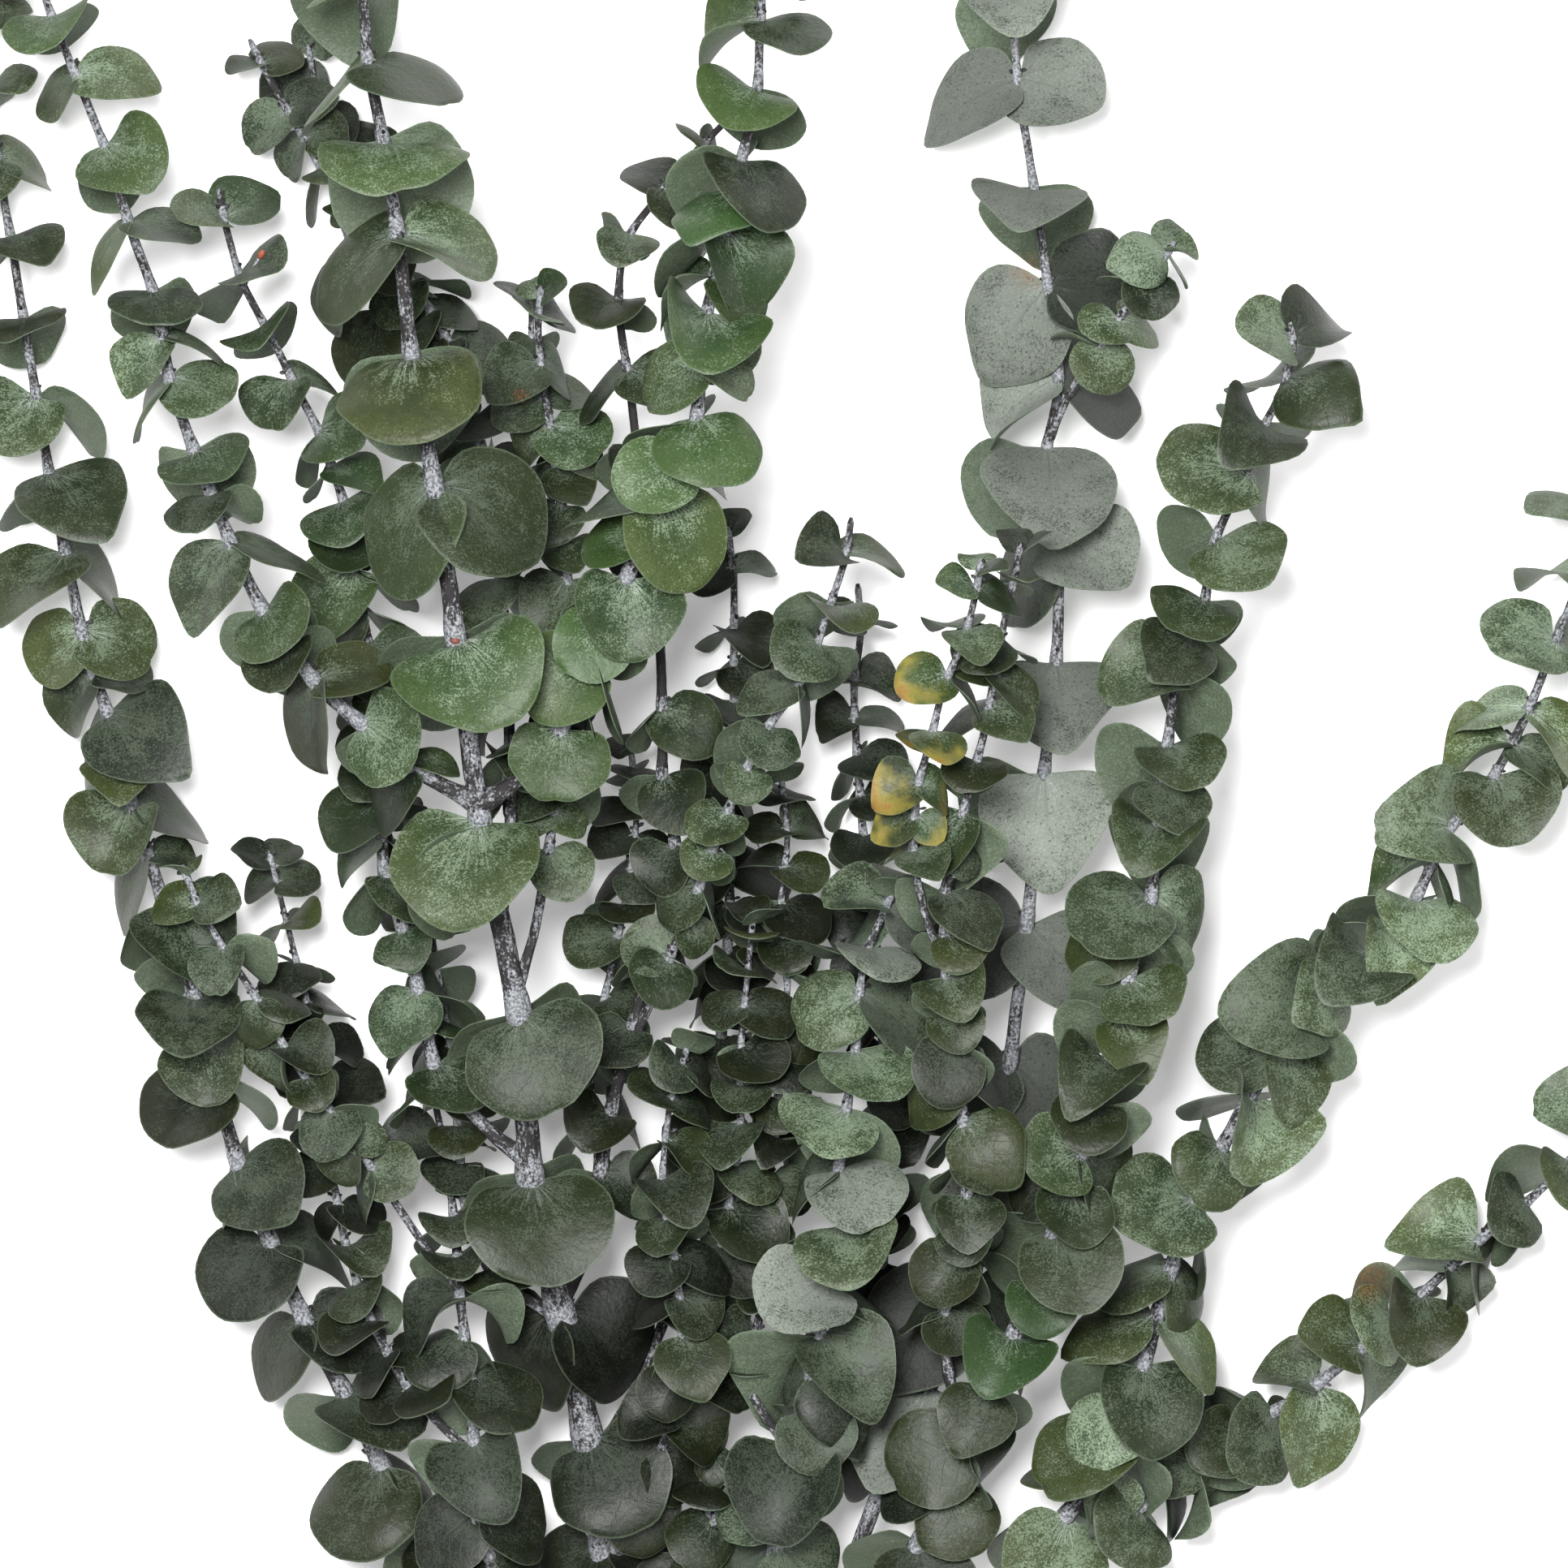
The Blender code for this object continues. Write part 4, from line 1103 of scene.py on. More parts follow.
def grow_extra(shoots, leaves, box):
    """The twigs, and more leaves, in the room that is left between the leaves of the solids."""
    space = Space(leaves)
    for shoot in SHOOTS:
        space.add(shoot.name + "_stem", shoot)
    twigs = []
    for twig in TWIGS:
        twigs.append(threaded(twig, shoots, space))
        space.add(twig.name + "_stem", twigs[-1])
    more = {}
    for number, shoot in enumerate(SHOOTS + twigs):
        draw = random.Random(EXTRA_SEED + number)
        more[shoot.name] = []
        for node in extra_nodes(shoot, shoot.name in shoots):
            around = space.near(node.point, LEAF_REACH)
            for side in PAIR_TURNS:
                trials = bent_leaves(shoot, node, side, draw)
                leaf = squeezed_in(shoot.name + "_stem", around, box, trials)
                if leaf:
                    more[shoot.name].append(leaf)
                    space.add(shoot.name, leaf)
                    around.add(shoot.name, leaf)
    return twigs, more


def mark_shade(leaves):
    """Give each leaf its share of shade, 0 in the open and 1 deep under others."""
    middles = np.array([leaf.middle() for leaf in leaves])
    for leaf, middle in zip(leaves, middles):
        away = middles - middle
        above = (np.hypot(away[:, 0], away[:, 1]) < SHADE_REACH) & (away[:, 2] > SHADE_RISE)
        leaf.shade = min(1.0, np.count_nonzero(above) / SHADE_LEAVES)


def colour(code):
    """Linear colour of a six-digit code."""
    parts = []
    for k in (0, 2, 4):
        value = int(code[k:k + 2], 16) / 255
        parts.append(value / 12.92 if value <= 0.04045 else ((value + 0.055) / 1.055) ** 2.4)
    return (*parts, 1.0)


class Value:
    """What a node of a material gives, with arithmetic on it."""

    def __init__(self, graph, socket):
        self.graph = graph
        self.socket = socket

    def __add__(self, other):
        return self.graph.math("ADD", self, other)

    def __sub__(self, other):
        return self.graph.math("SUBTRACT", self, other)

    def __mul__(self, other):
        return self.graph.math("MULTIPLY", self, other)

    def clamped(self):
        """The same sum, kept from 0 to 1."""
        self.socket.node.use_clamp = True
        return self

    def step(self, start, end):
        """0 to 1, smoothly, as the value goes from start to end."""
        inputs = {"Value": self, "From Min": start, "From Max": end}
        return self.graph.made("MapRange", inputs, interpolation_type="SMOOTHSTEP")

    def split(self):
        """The three numbers of a vector."""
        parts = self.graph.made("SeparateXYZ", {0: self}).socket.node.outputs
        return [Value(self.graph, part) for part in parts]


class Graph:
    """Short names for making and joining a material's nodes."""

    def __init__(self, name):
        self.material = bpy.data.materials.new(name)
        self.material.use_nodes = True
        self.tree = self.material.node_tree
        self.shader = self.tree.nodes["Principled BSDF"]

    def feed(self, node, inputs):
        """Give a node its inputs, by name or number; a word is the code of a colour."""
        for key, value in inputs.items():
            if isinstance(value, Value):
                self.tree.links.new(value.socket, node.inputs[key])
            else:
                node.inputs[key].default_value = colour(value) if isinstance(value, str) else value

    def made(self, kind, inputs, output=0, **settings):
        """What a new node gives."""
        node = self.tree.nodes.new("ShaderNode" + kind)
        for key, value in settings.items():
            setattr(node, key, value)
        self.feed(node, inputs)
        return Value(self, node.outputs[output])

    def math(self, operation, *values):
        return self.made("Math", dict(enumerate(values)), operation=operation)

    def mix(self, factor, low, high):
        return self.made("Mix", {0: factor, 6: low, 7: high}, 2, data_type="RGBA")

    def noise(self, vector, scale, detail=2.0, roughness=0.5):
        inputs = {"Vector": vector, "Scale": scale, "Detail": detail, "Roughness": roughness}
        return self.made("TexNoise", inputs)

    def cells(self, vector, scale, feature):
        """Distance to the nearest dot, or to the nearest edge of the cells round the dots."""
        return self.made("TexVoronoi", {"Vector": vector, "Scale": scale}, "Distance", feature=feature)

    def join(self, x, y, z):
        return self.made("CombineXYZ", {0: x, 1: y, 2: z})

    def attribute(self, name):
        return self.made("Attribute", {}, "Vector", attribute_name=name).split()

    def flat(self, name):
        """The two numbers of the flat map of a leaf or of bark."""
        return self.made("UVMap", {}, uv_map=name).split()[:2]

    def place(self):
        return self.made("TexCoord", {}, "Object")

    def bump(self, height, distance):
        inputs = {"Strength": 1.0, "Distance": distance, "Height": height}
        self.feed(self.shader, {"Normal": self.made("Bump", inputs)})


def leaf_veins(g, place, side, along, chance):
    """Side veins that lean to the tip, the midrib, and the mesh of fine veins between them."""
    wander = g.noise(place, WANDER_SCALE, 1.0) * LATERAL_WANDER
    line = (along - side * LATERAL_LEAN) * LATERAL_COUNT + (wander + chance)
    lateral = g.math("PINGPONG", line, 0.5).step(*LATERAL_EDGES) * side.step(0.95, 0.3)
    midrib = side.step(*MIDRIB_EDGES) * along.step(1.0, 0.3)
    mesh = g.cells(place, MESH_SCALE, "DISTANCE_TO_EDGE").step(*MESH_EDGES)
    return lateral, midrib, mesh


def leaf_rays(g, across, along, reach, chance):
    """Streaks of bloom that run out from the base of a leaf."""
    angle = g.math("ARCTAN2", across, along + RAY_FOOT)
    fan = g.join(angle * RAY_TURNS, reach * RAY_STRETCH, chance * RAY_SHIFT)
    return g.noise(fan, RAY_SCALE, 3.0).step(*RAY_EDGES)


def leaf_green(g, olive, vivid, cloud, reach):
    """The green under the bloom, more olive in clouds and at the edge."""
    share = (olive + (cloud - 0.5) * OLIVE_CLOUD + reach.step(0.5, 1.0) * OLIVE_EDGE).clamped()
    green = g.mix(share, LEAF_DEEP, LEAF_OLIVE)
    return g.mix(vivid, green, LEAF_VIVID)


def aged(g, skin, place, along, age, patch, grain):
    """The skin with its tip and patches gone yellow and then orange."""
    ripe = along * RIPE_TIP + g.noise(place, RIPE_SCALE) * RIPE_CLOUD + age * RIPE_AGE
    skin = g.mix(ripe.step(*YELLOW_EDGES) * YELLOW_SHARE, skin, LEAF_YELLOW)
    skin = g.mix(ripe.step(*ORANGE_EDGES) * ORANGE_SHARE, skin, LEAF_ORANGE)
    return g.mix(patch * grain.step(*SPOT_EDGES), skin, LEAF_ORANGE)


def leaf_looks_material(name):
    """Leaf skin: green under a grainy bloom, with veins, a paler under side and yellowed parts."""
    g = Graph(name)
    place = g.place()
    across, along = g.flat("leaf")
    bloom, olive, age = g.attribute("leaf_look")
    chance, patch, kind = g.attribute("leaf_draw")
    light, vivid, rim = g.attribute("leaf_tone")
    side = g.math("ABSOLUTE", across)
    reach = g.math("SQRT", across * across + along * along)
    grain = g.noise(place, GRAIN_SCALE, 2.5, 0.8)
    cloud = g.noise(place, CLOUD_SCALE, 3.0, 0.7)
    dots = g.cells(place, DOT_SCALE, "F1").step(*DOT_EDGES)
    lateral, midrib, mesh = leaf_veins(g, place, side, along, chance)
    ribs = g.math("MAXIMUM", lateral, midrib)
    rays = leaf_rays(g, across, along, reach, chance)

    # The bloom lies thicker near the base, along the rays and in clouds.
    near_base = reach.step(0.90, 0.0)
    dust = rays * (near_base * DUST_RAYS) + near_base * DUST_BASE
    dust = dust + (cloud - 0.5) * DUST_CLOUD + (bloom - 0.5) * DUST_BLOOM
    grains = (grain + dust).step(*GRAIN_EDGES)
    greyed = bloom.step(*GREYED_EDGES)
    veil = g.mix(greyed, BLOOM_VEIL, GREY_VEIL)
    dusty = g.mix(greyed, BLOOM_GRAIN, GREY_GRAIN)
    star = (reach - rays * STAR_RAYS).step(*STAR_EDGES) * grain.step(0.36, 0.56)

    upper = leaf_green(g, olive, vivid, cloud, reach)
    upper = g.mix((bloom * VEIL_BLOOM + dust * VEIL_DUST).clamped(), upper, veil)
    upper = g.mix(grains * GRAIN_SHARE, upper, dusty)
    upper = g.mix(star * STAR_SHARE, upper, STAR_PALE)
    upper = g.mix(g.math("MAXIMUM", ribs, mesh * MESH_SHARE) * VEIN_SHARE, upper, VEIN_DARK)
    upper = g.mix(dots * DOT_SHARE, upper, VEIN_DARK)
    upper = g.made("HueSaturation", {"Color": upper, "Value": light})

    under = g.mix(grains * UNDER_BLOOM, UNDER_SIDE, BLOOM_GRAIN)
    under = g.mix(midrib * UNDER_RIB, under, RIB_PALE)
    under = g.mix(mesh * UNDER_MESH, under, VEIN_DARK)

    skin = g.mix(kind.step(0.25, 0.75) * UNDER_SHARE, upper, under)
    skin = aged(g, skin, place, along, age, patch, grain)
    skin = g.mix(rim.step(*RIM_EDGES) * RIM_SHARE, skin, BLOOM_GRAIN)
    skin = g.mix(kind.step(1.25, 1.75), skin, RIB_PALE)
    gloss = {"Roughness": grains * 0.2 + 0.48, "Specular IOR Level": 0.30}
    g.feed(g.shader, {"Base Color": skin, **gloss})
    g.bump(g.noise(place, RELIEF_SCALE, 2.0, 0.7) - ribs * RIDGE_SHARE, LEAF_RELIEF)
    return g.material


def bark_material(name):
    """Bark: pale bloom over dark skin, worn off in dashes and patches that run along the stem."""
    g = Graph(name)
    place = g.place()
    girth, along = g.flat("bark")
    dark, pale_node, dry = g.attribute("bark_look")
    dashes = g.noise(g.join(girth, along * DASH_STRETCH, 0.0), DASH_SCALE, 3.0, 0.65)
    across, ahead = PATCH_STRETCH
    patches = g.noise(g.join(girth * across, along * ahead, PATCH_SHIFT), PATCH_SCALE)
    specks = g.noise(place, SPECK_SCALE, 2.0, 0.6)
    cover = dashes * COVER_DASHES + specks * COVER_SPECKS + (patches - 0.5) * COVER_PATCHES
    cover = cover - (dark - 0.5) * COVER_DARK + pale_node * COVER_NODE
    skin = g.mix(g.noise(place, SKIN_SCALE), BARK_DARK, BARK_BROWN)
    pale = g.mix(specks.step(0.38, 0.66), BARK_PALE, BARK_WHITE)
    skin = g.mix(cover.step(*COVER_EDGES) * COVER_SHARE, skin, pale)
    skin = g.mix(dry * DRY_SHARE, skin, BARK_DARK)
    g.feed(g.shader, {"Base Color": skin, "Roughness": 0.74, "Specular IOR Level": 0.28})
    g.bump(dashes, BARK_RELIEF)
    return g.material


def cut_wood_material(name):
    """The cut end: pale wood with growth rings round its pith."""
    g = Graph(name)
    place = g.place()
    ring, _ = g.flat("bark")
    wave = g.math("SINE", ring * RING_WAVE + g.noise(place, FIBRE_SCALE))
    skin = g.mix(wave.step(-0.6, 0.9), WOOD_PALE, WOOD_RING)
    g.feed(g.shader, {"Base Color": skin, "Roughness": 0.85})
    g.bump(g.noise(place, PORE_SCALE), WOOD_RELIEF)
    return g.material


class Sheet:
    """Points, faces and values for one mesh, gathered piece by piece."""

    def __init__(self):
        self.points = []
        self.faces = []
        self.slots = []
        self.uvs = []
        self.values = []
        self.count = 0

    def add(self, points, faces, uvs, *values, slot=0):
        self.points.append(points)
        self.faces += [tuple(k + self.count for k in face) for face in faces]
        self.slots += [slot] * len(faces)
        self.uvs.append(uvs)
        self.values.append(values)
        self.count += len(points)

    def build(self, name, uv_name, look_names, materials, sharp):
        mesh = bpy.data.meshes.new(name)
        mesh.from_pydata(np.vstack(self.points).tolist(), [], self.faces)
        corners = np.empty(len(mesh.loops), dtype=np.int32)
        mesh.loops.foreach_get("vertex_index", corners)
        uvs = np.vstack(self.uvs)[corners]
        mesh.uv_layers.new(name=uv_name).data.foreach_set("uv", uvs.astype(np.float32).ravel())
        for look_name, values in zip(look_names, zip(*self.values)):
            layer = mesh.attributes.new(look_name, "FLOAT_VECTOR", "POINT")
            layer.data.foreach_set("vector", np.vstack(values).astype(np.float32).ravel())
        for material in materials:
            mesh.materials.append(material)
        mesh.polygons.foreach_set("material_index", np.array(self.slots, dtype=np.int32))
        mesh.shade_smooth()
        mesh.set_sharp_from_angle(angle=sharp)
        mesh.update()
        return placed(name, mesh)


def placed(name, data):
    """A new object in the scene."""
    thing = bpy.data.objects.new(name, data)
    bpy.context.scene.collection.objects.link(thing)
    return thing


def in_order(parts, place_of):
    """Puts the points or faces of a form in the order of their places, which is the same each run."""
    for k, part in enumerate(sorted(parts, key=lambda part: tuple(place_of(part)))):
        part.index = k
    parts.sort()


def mesh_of(form, name):
    """The mesh of a form, which is then done with."""
    in_order(form.verts, lambda point: point.co)
    in_order(form.faces, lambda face: face.calc_center_median())
    mesh = bpy.data.meshes.new(name)
    form.to_mesh(mesh)
    form.free()
    return mesh


def rows(count, *values):
    """Values side by side, one row for each of count points."""
    return np.column_stack([np.broadcast_to(value, count) for value in values])


def sheet_faces(rings, sectors):
    """Faces of a closed leaf: a fan and rings on the upper side, the same below, and the rim."""
    faces = []
    below = 1 + rings * sectors
    last = below - sectors
    for k in range(sectors):
        m = (k + 1) % sectors
        faces.append((0, 1 + k, 1 + m))
        faces.append((below, below + 1 + m, below + 1 + k))
        for low in range(1, last, sectors):
            high = low + sectors
            faces.append((low + k, high + k, high + m, low + m))
            faces.append((below + low + m, below + high + m, below + high + k, below + low + k))
        faces.append((last + k, below + last + k, below + last + m, last + m))
    return faces


class Blade:
    """The blade of one fine leaf: t is the way from base to tip, r from the middle to the edge."""

    def __init__(self, leaf, look, draw):
        self.leaf = leaf
        self.look = look
        rings, sectors = LARGE_GRID if leaf.width > FINE_LEAF else SMALL_GRID
        self.faces = sheet_faces(rings, sectors)
        theta = math.tau * np.arange(sectors) / sectors
        turn, r = np.meshgrid(theta, (np.arange(1, rings + 1) / rings) ** RING_POWER)
        self.turn = np.concatenate(([0.0], turn.ravel()))
        self.r = np.concatenate(([0.0], r.ravel()))

        pointed = draw.random() < look.pointed
        outline = POINTED if pointed else ROUND
        self.lobe, self.broad, self.tip, length = (draw.uniform(*span) for span in outline)
        self.length = length if pointed else length * look.short
        self.tip_breadth = POINTED_TIP_BREADTH if pointed else ROUND_TIP_BREADTH
        self.wave = draw.uniform(*WAVE_RANGE)
        self.wave_count = draw.choice(WAVE_COUNTS)
        self.twist = draw.uniform(*TWIST_RANGE)
        self.hollow = draw.uniform(*HOLLOW_RANGE)
        self.nod = draw.uniform(*NOD_RANGE)
        if draw.random() < look.bent:
            self.hollow = draw.choice(BENT_HOLLOWS)
            self.nod = draw.uniform(*BENT_NOD_RANGE)
        self.phases = [draw.uniform(0, math.tau) for _ in range(4)]
        self.spread()
        self.lift()

    def spread(self):
        """Lay the blade out flat: a broad base with two lobes, a ragged edge and a tip."""
        turn, r, broad = self.turn, self.r, self.broad
        off_tip = np.minimum(turn, math.tau - turn)
        ripple = RAGGED * np.sin(3 * turn + self.phases[0]) + RAGGED * np.sin(7 * turn + self.phases[1])
        edge = 0.5 * r * (1 + r * ripple)
        self.t = 0.5 + edge * np.cos(turn)
        self.t -= self.lobe * np.exp(-((off_tip - LOBE_ANGLE) / LOBE_BREADTH) ** 2) * r ** 4
        self.t += self.tip * np.exp(-(off_tip / self.tip_breadth) ** 2) * r ** 5
        self.across = self.leaf.width * edge * np.sin(turn)
        self.across *= (1 - broad * np.cos(turn)) / (1 + 0.3 * broad)
        self.side = 2 * self.across / self.leaf.width

    def lift(self):
        """Bend the blade: its midrib's groove and fold, its curl, waves, twist, hollow, nod and cup."""
        leaf, r, t, across = self.leaf, self.r, self.t, self.across
        crease = CREASE * leaf.width
        rise = leaf.fold * (np.sqrt(across ** 2 + crease ** 2) - crease)
        rise -= leaf.curl * leaf.length * t ** 2
        rise += self.wave * leaf.width * r ** 3 * np.sin(self.wave_count * self.turn + self.phases[2])
        rise += self.twist * across * t
        rise += 0.5 * leaf.width * self.hollow * self.side ** 2
        rise -= self.nod * leaf.length * np.maximum(t - NOD_START, 0) ** 2
        rise -= self.look.cup * leaf.width * r ** 4 * (0.5 + 0.5 * np.sin(self.turn + self.phases[3]))
        self.rise = rise

    def points(self, grown, box):
        """Points of the upper sheet and then of the lower one, inside the box and off the floor."""
        leaf = self.leaf
        ways = (leaf.root, leaf.u, *faced_up(leaf, self.look.level))
        root, u, v, w = (np.array(way) for way in ways)
        along = np.outer(self.t * (self.length * grown) * leaf.length, u)
        middle = root + along + np.outer(self.across * grown, v) + np.outer(self.rise * grown, w)
        half = np.outer(FINE_THICKNESS / 2 * (1 - EDGE_THINNING * self.r ** 4), w)
        points = drawn_in(np.vstack((middle + half, middle - half)), root, box)
        higher = np.repeat((w[2] > 0, w[2] <= 0), len(middle))
        points[:, 2] = np.maximum(points[:, 2], FLOOR_CLEAR + higher * FINE_THICKNESS / 2)
        return points


def drawn_in(points, root, box):
    """A leaf's points, drawn in towards its root until they are inside the box of the solids."""
    low, high = np.array(box[0]), np.array(box[1])
    low[2] = -1.0
    away = points - root
    room = np.where(away > 0, high - root, root - low)
    share = np.min(room / np.maximum(np.abs(away), 1e-9))
    return root + away * min(1.0, share)


def faced_up(leaf, share):
    """The blade's v and w, rolled about its length by a share of the way to lying level."""
    level = UP - leaf.u * leaf.u.z
    if level.length < UPRIGHT:
        return leaf.v, leaf.w
    if leaf.w.z < 0:
        level = -level
    angle = math.atan2(leaf.w.cross(level).dot(leaf.u), leaf.w.dot(level))
    turn = Matrix.Rotation(share * angle, 3, leaf.u)
    return turn @ leaf.v, turn @ leaf.w


def grown_size(leaf, shoot, look):
    """How large a fine leaf is beside its coarse one, which changes near the shoot's foot and tip."""
    to_foot = (leaf.root - shoot.axis[0][0]).length
    to_tip = (leaf.root - shoot.axis[-1][0]).length
    size = look.size * np.interp(to_foot, FOOT_RUN, (look.foot_size, 1.0))
    return size * np.interp(to_tip, TIP_RUN, (look.tip_size, 1.0))


def spot_share(spots, leaf):
    """1 where a leaf's middle lies in one of the spots, given as x, y and radius in millimetres."""
    middle = in_photo(leaf.middle())
    return float(any(math.dist(middle, (x, y)) < radius for x, y, radius in spots))


def orange_patch(points):
    """How far each point lies in an orange spot, from 0 to 1."""
    patch = np.zeros(len(points))
    for *place, radius in ORANGE_SPOTS:
        x, y = from_photo(*place)
        away = np.hypot(points[:, 0] - x, points[:, 1] - y)
        patch = np.maximum(patch, np.clip(SPOT_REACH - away / (radius * MM), 0, 1))
    return patch


def add_leaf(sheet, leaf, shoot, draw, box):
    """A fine leaf in the place of a coarse one, with its own colouring, on a short stalk."""
    look = look_of(shoot)
    blade = Blade(leaf, look, draw)
    points = blade.points(grown_size(leaf, shoot, look), box)
    vivid = max(VIVID_SPOT * spot_share(VIVID_SPOTS, leaf), look.vivid * draw.random())
    bloom = np.clip(look.bloom + draw.uniform(-BLOOM_SPREAD, BLOOM_SPREAD), 0, 1)
    bloom *= 1 - VIVID_LOSS * vivid
    olive = np.clip(look.olive + draw.uniform(-OLIVE_SPREAD, OLIVE_SPREAD), 0, 1)
    age = look.age * spot_share(AGED_SPOTS, leaf) * draw.uniform(*AGE_RANGE)
    # Painted shade: the leaf is darker under other leaves and near the heart, and a share of leaves is
    # painted dark as if deep in shadow.
    heart = math.exp(-(math.dist(HEART, in_photo(leaf.root)) / HEART_REACH) ** 2)
    light = look.light * (1 - SHADE_DEPTH * leaf.shade) * (1 - HEART_SHADE_DEPTH * heart)
    light *= SHADED_LEAF_LIGHT if draw.random() < SHADED_LEAF_CHANCE else draw.uniform(*LIGHT_RANGE)
    count = len(points)
    kind = np.repeat((UPPER_SIDE, LOWER_SIDE), count // 2)
    sheet.add(
        points, blade.faces, np.tile(np.column_stack((blade.side, blade.t)), (2, 1)),
        rows(count, bloom, olive, age),
        rows(count, draw.random(), orange_patch(points), kind),
        rows(count, light, vivid, np.tile(blade.r, 2)),
    )
    add_stalk(sheet, leaf)


def add_stalk(sheet, leaf):
    """The short stalk of a leaf, from inside the stem to just under the blade."""
    root, u, v, w = (np.array(way) for way in (leaf.root, leaf.u, leaf.v, leaf.w))
    size = STALK_RADIUS * min(1.0, leaf.width / STALK_LEAF)
    points = []
    for share in np.linspace(0, 1, STALK_RINGS):
        step = -STALK_SUNK + (STALK_LENGTH + STALK_SUNK) * share
        centre = root + u * step - w * (leaf.curl * step * abs(step) / leaf.length)
        radius = size * (1 - STALK_TAPER * share)
        points += ring_of(centre, v, w * STALK_FLATNESS, radius, STALK_SIDES)
    points = np.array(points)
    points[:, 2] = np.maximum(points[:, 2], FLOOR_CLEAR)
    count = len(points)
    sheet.add(points, capped_faces(STALK_RINGS, STALK_SIDES), rows(count, 0.0, 0.0),
              rows(count, 0.0, 0.0, 0.0), rows(count, 0.0, 0.0, STALK), rows(count, 0.0, 0.0, 0.0))


def smooth_line(shoot):
    """Close points on a curve through a stem's axis, each with its radius."""
    centres = [centre for centre, _ in shoot.axis]
    radii = [radius for _, radius in shoot.axis]
    line = []
    for k, (start, end) in enumerate(zip(centres, centres[1:])):
        steps = max(LEAST_STEPS, round((end - start).length / STEM_STEP))
        at_tip = k == len(centres) - 2
        for n in range(steps + at_tip):
            t = n / steps
            point = start.lerp(end, t).lerp(spline(centres, k, t), CURVE_SHARE)
            line.append((point, radii[k] + (radii[k + 1] - radii[k]) * t))
    return line


def swelling(centre, radius, leaves):
    """1 at a node and 0 far from any."""
    near = min(((centre - leaf.root).length for leaf in leaves), default=1.0)
    by_radius, more = NODE_REACH
    return math.exp(-(near / (by_radius * radius + more)) ** 2)


def add_stem(sheet, shoot, leaves, draw):
    """A round stem with swollen nodes, a collar where it leaves its parent, and a taper to its tip."""
    bark = look_of(shoot).bark
    line = smooth_line(shoot)
    last = len(line) - 1
    sides = STEM_FINE_SIDES if shoot.parent else MAIN_FINE_SIDES
    points, uvs, looks = [], [], []
    run = 0.0
    side = (line[1][0] - line[0][0]).normalized().cross(UP).normalized()
    for k, (centre, radius) in enumerate(line):
        before = line[max(k - 1, 0)][0]
        ahead = (line[min(k + 1, last)][0] - before).normalized()
        side = (side - ahead * ahead.dot(side)).normalized()
        rise = ahead.cross(side)
        run += (centre - before).length
        swell = swelling(centre, radius, leaves)
        thick = radius * (1 + NODE_SWELL * swell)
        if shoot.parent:
            collar = math.exp(-(run / (shoot.buried * COLLAR_REACH)) ** 2)
            thick += radius * COLLAR_SWELL * collar
        if k == last:
            thick *= TIP_TAPER
        for n in range(sides):
            angle = math.tau * n / sides
            rough = 1 + ROUGH_WAVE * math.sin(3 * angle + run * ROUGH_TURN)
            rough += draw.uniform(-ROUGH_SPREAD, ROUGH_SPREAD)
            point = centre + (side * math.cos(angle) + rise * math.sin(angle)) * thick * rough
            point.z = max(point.z, FLOOR_CLEAR)
            points.append(point)
            uvs.append((angle * radius / MM, run / MM))
            looks.append((bark, swell, 0.0))
    sheet.add(points, tube_faces(last + 1, sides), uvs, looks)
    add_end(sheet, line[0][0], points[:sides], 1, BARK_SLOT if shoot.parent else WOOD_SLOT)
    add_end(sheet, line[-1][0], points[-sides:], -1, BARK_SLOT)


def add_end(sheet, centre, ring, way, slot):
    """A fan that closes one end of a stem, with its distance from the middle as u."""
    count = len(ring)
    faces = [(0, *(1 + k, 1 + (k + 1) % count)[::-way]) for k in range(count)]
    from_middle = np.array([0.0] + [1.0] * count)
    sheet.add([centre, *ring], faces, rows(count + 1, from_middle, 0.0),
              rows(count + 1, 0.0, 0.0, 0.0), slot=slot)


def stem_frame(shoot, root):
    """Growth direction of the stem beside a leaf's root, and the way out of it there."""
    nearest, grows, out = None, None, None
    for (p, _), (q, _) in zip(shoot.axis, shoot.axis[1:]):
        run = q - p
        t = min(max((root - p).dot(run) / run.dot(run), 0.0), 1.0)
        away = root - (p + run * t)
        if nearest is None or away.length < nearest:
            nearest, grows, out = away.length, run.normalized(), away
    return grows, (out - grows * out.dot(grows)).normalized()


def add_stub(sheet, shoot, leaf, draw):
    """A dry bud stub in a leaf's axil."""
    if draw.random() > STUB_CHANCE:
        return
    grows, out = stem_frame(shoot, leaf.root)
    length = draw.uniform(*STUB_LENGTH) * MM + STUB_SUNK
    thick = draw.uniform(*STUB_THICK) * MM
    base = leaf.root + grows * STUB_LIFT - out * STUB_SUNK
    reach = (out * STUB_OUT + grows * draw.uniform(*STUB_LEAN)).normalized()
    side = reach.cross(grows).normalized()
    rise = side.cross(reach)
    points, looks = [], []
    for share, girth in STUB_RINGS:
        points += ring_of(base + reach * length * share, side, rise, thick * girth, STUB_SIDES)
        looks += [(STUB_DARK, 0.0, STUB_DRY * share)] * STUB_SIDES
    for point in points:
        point.z = max(point.z, FLOOR_CLEAR)
    uvs = [(p.x / MM, p.y / MM) for p in points]
    sheet.add(points, capped_faces(len(STUB_RINGS), STUB_SIDES), uvs, looks)


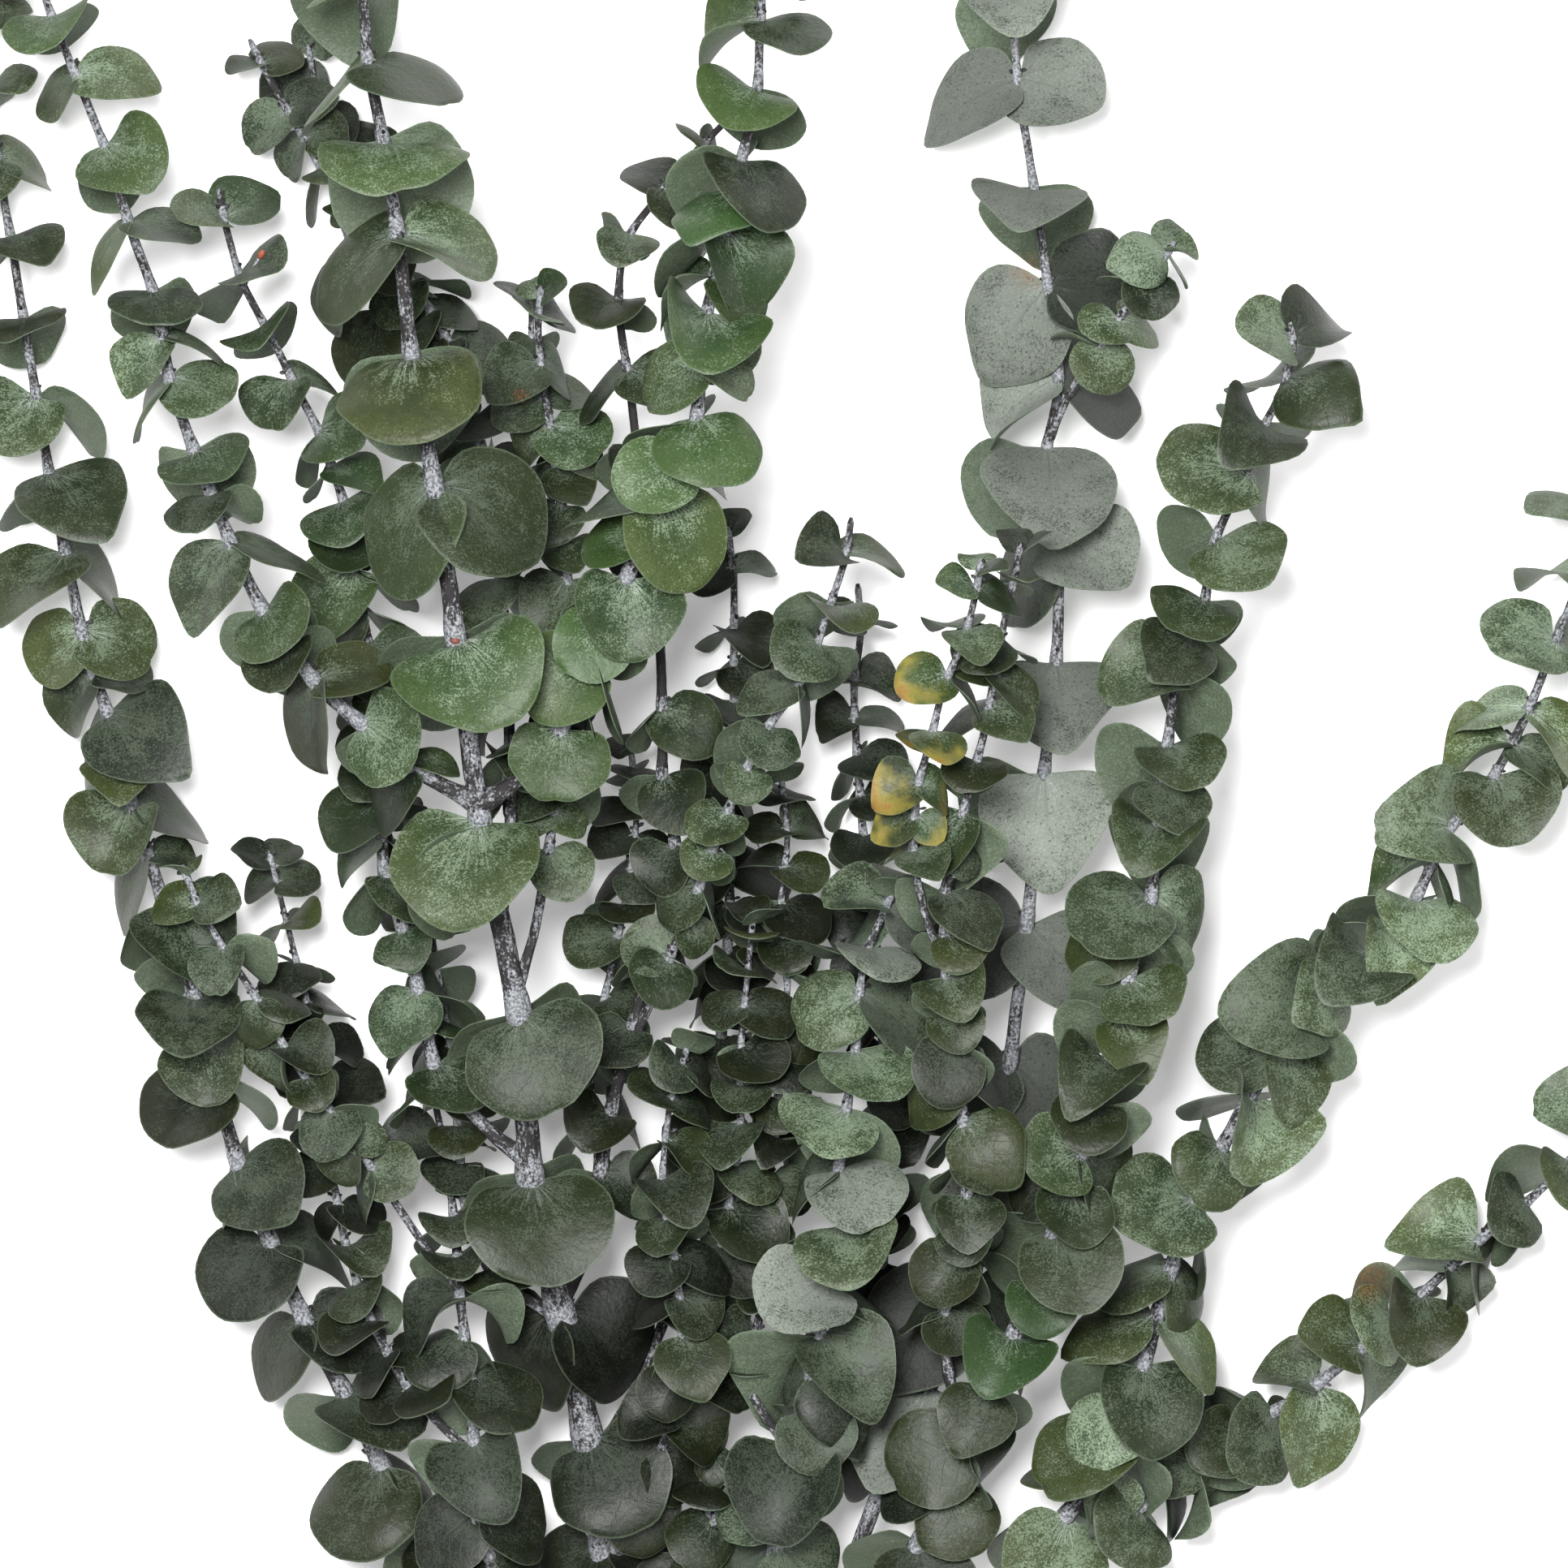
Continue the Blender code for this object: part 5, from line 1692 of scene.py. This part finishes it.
def dress(shoot, number, leaves, materials, box):
    """The fine stem and the fine leaves of one shoot."""
    draw = random.Random(LOOKS_SEED + number)
    stem = Sheet()
    add_stem(stem, shoot, leaves, draw)
    for leaf in leaves:
        add_stub(stem, shoot, leaf, draw)
    foliage = Sheet()
    for leaf in leaves:
        add_leaf(foliage, leaf, shoot, draw, box)
    wood = stem.build(shoot.name + "_stem", "bark", ["bark_look"],
                      [materials["bark"], materials["cut_wood"]], STEM_SHARP)
    green = foliage.build(shoot.name + "_leaves", "leaf", ["leaf_look", "leaf_draw", "leaf_tone"],
                          [materials["leaf"]], LEAF_SHARP)
    for piece, slot in ((wood, "bark"), (green, look_of(shoot).slot)):
        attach(piece, "root")
        if shoot.name in frame["nodes"]:
            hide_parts(shoot.name)


def on_bark(shoot, place):
    """The top of a stem's bark at a place in the photo's frame, in millimetres."""
    x, y = from_photo(*place)
    foot, radius = nearest_on(shoot.axis, x, y)
    aside = Vector((x - foot.x, y - foot.y, 0.0))
    if aside.length > BUD_SPAN * radius:
        aside = aside.normalized() * (BUD_SPAN * radius)
    return foot + aside + UP * math.sqrt(radius ** 2 - aside.length_squared)


def add_bud(name, shoot, place, foot, size, code, bark):
    """A small coloured bud at the end of its stalk, or a scar on the bark where it has none."""
    base = on_bark(shoot, foot)
    head = base
    grows = UP
    if place != foot:
        head = Vector((*from_photo(*place), base.z + BUD_RISE))
        grows = (head - base).normalized()
    turned = grows.to_track_quat("Z", "Y").to_matrix().to_4x4()
    scaled = Matrix.Diagonal((*(part * MM for part in size), 1.0))
    form = bmesh.new()
    bmesh.ops.create_uvsphere(form, u_segments=BUD_SIDES, v_segments=BUD_RINGS, radius=1.0,
                              matrix=Matrix.Translation(head) @ turned @ scaled)
    if place != foot:
        middle = Matrix.Translation((base + head) / 2)
        stalk = bmesh.ops.create_cone(form, cap_ends=True, segments=BUD_STALK_SIDES,
                                      radius1=BUD_STALK, radius2=BUD_TAPER * BUD_STALK,
                                      depth=(head - base).length, matrix=middle @ turned)
        for vertex in stalk["verts"]:
            for face in vertex.link_faces:
                face.material_index = 1
    mesh = mesh_of(form, name)
    mesh.shade_smooth()
    g = Graph(name)
    skin = g.mix(g.noise(g.place(), BUD_SCALE), code, BARK_BROWN)
    g.feed(g.shader, {"Base Color": skin, "Roughness": 0.6})
    mesh.materials.append(g.material)
    mesh.materials.append(bark)
    bud = placed(name, mesh)
    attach(bud, "root")


def make_floor():
    """The white floor that the branch lies on, with a glow of its own that thins the shadows."""
    form = bmesh.new()
    bmesh.ops.create_grid(form, x_segments=1, y_segments=1, size=FLOOR_HALF)
    mesh = mesh_of(form, "floor")
    g = Graph("floor")
    g.feed(g.shader, {"Base Color": FLOOR_WHITE, "Roughness": 0.9,
                      "Emission Color": WHITE, "Emission Strength": FLOOR_GLOW})
    mesh.materials.append(g.material)
    placed("floor", mesh)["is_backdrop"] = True


def make_light():
    """A white sky, and the lamps of the table, which shine at the branch's middle."""
    world = bpy.data.worlds.new("studio")
    world.use_nodes = True
    sky = world.node_tree.nodes["Background"]
    sky.inputs["Color"].default_value = WHITE
    sky.inputs["Strength"].default_value = SKY_STRENGTH
    bpy.context.scene.world = world
    for name, place, size, power in LAMPS:
        data = bpy.data.lights.new(name, "AREA")
        data.shape = "DISK"
        data.size = size
        data.energy = power
        lamp = placed(name, data)
        lamp.location = place
        lamp.rotation_euler = (-Vector(place)).to_track_quat("-Z", "Y").to_euler()


def make_camera():
    """The camera straight above the middle of the photo's frame."""
    data = bpy.data.cameras.new("camera")
    data.sensor_width = SENSOR_WIDTH
    data.lens = SENSOR_WIDTH * CAMERA_RISE / FRAME_WIDTH
    data.clip_end = CAMERA_REACH
    camera = placed("camera", data)
    camera.location = (*from_photo(0, 0), MIDDLE_HEIGHT + CAMERA_RISE)
    bpy.context.scene.camera = camera
    bpy.context.scene.view_settings.view_transform = "Standard"


def main():
    cad_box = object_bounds()
    shoots, leaves = grow()
    twigs, more = grow_extra(shoots, leaves, cad_box)
    for name, grown in leaves.items():
        more[name] = grown + more[name]
    mark_shade([leaf for grown in more.values() for leaf in grown])
    materials = {
        "leaf": leaf_looks_material("leaf_skin"),
        "bark": bark_material("bark"),
        "cut_wood": cut_wood_material("cut_wood"),
    }
    for number, shoot in enumerate(SHOOTS + twigs):
        dress(shoot, number, more[shoot.name], materials, cad_box)
    for name, carrier, *rest in BUDS:
        add_bud(name, shoots[carrier], *rest, materials["bark"])
    make_floor()
    make_light()
    make_camera()
    boxes = {"cad": cad_box, "looks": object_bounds()}
    sizes = {name: [list(corner) for corner in box] for name, box in boxes.items()}


main()
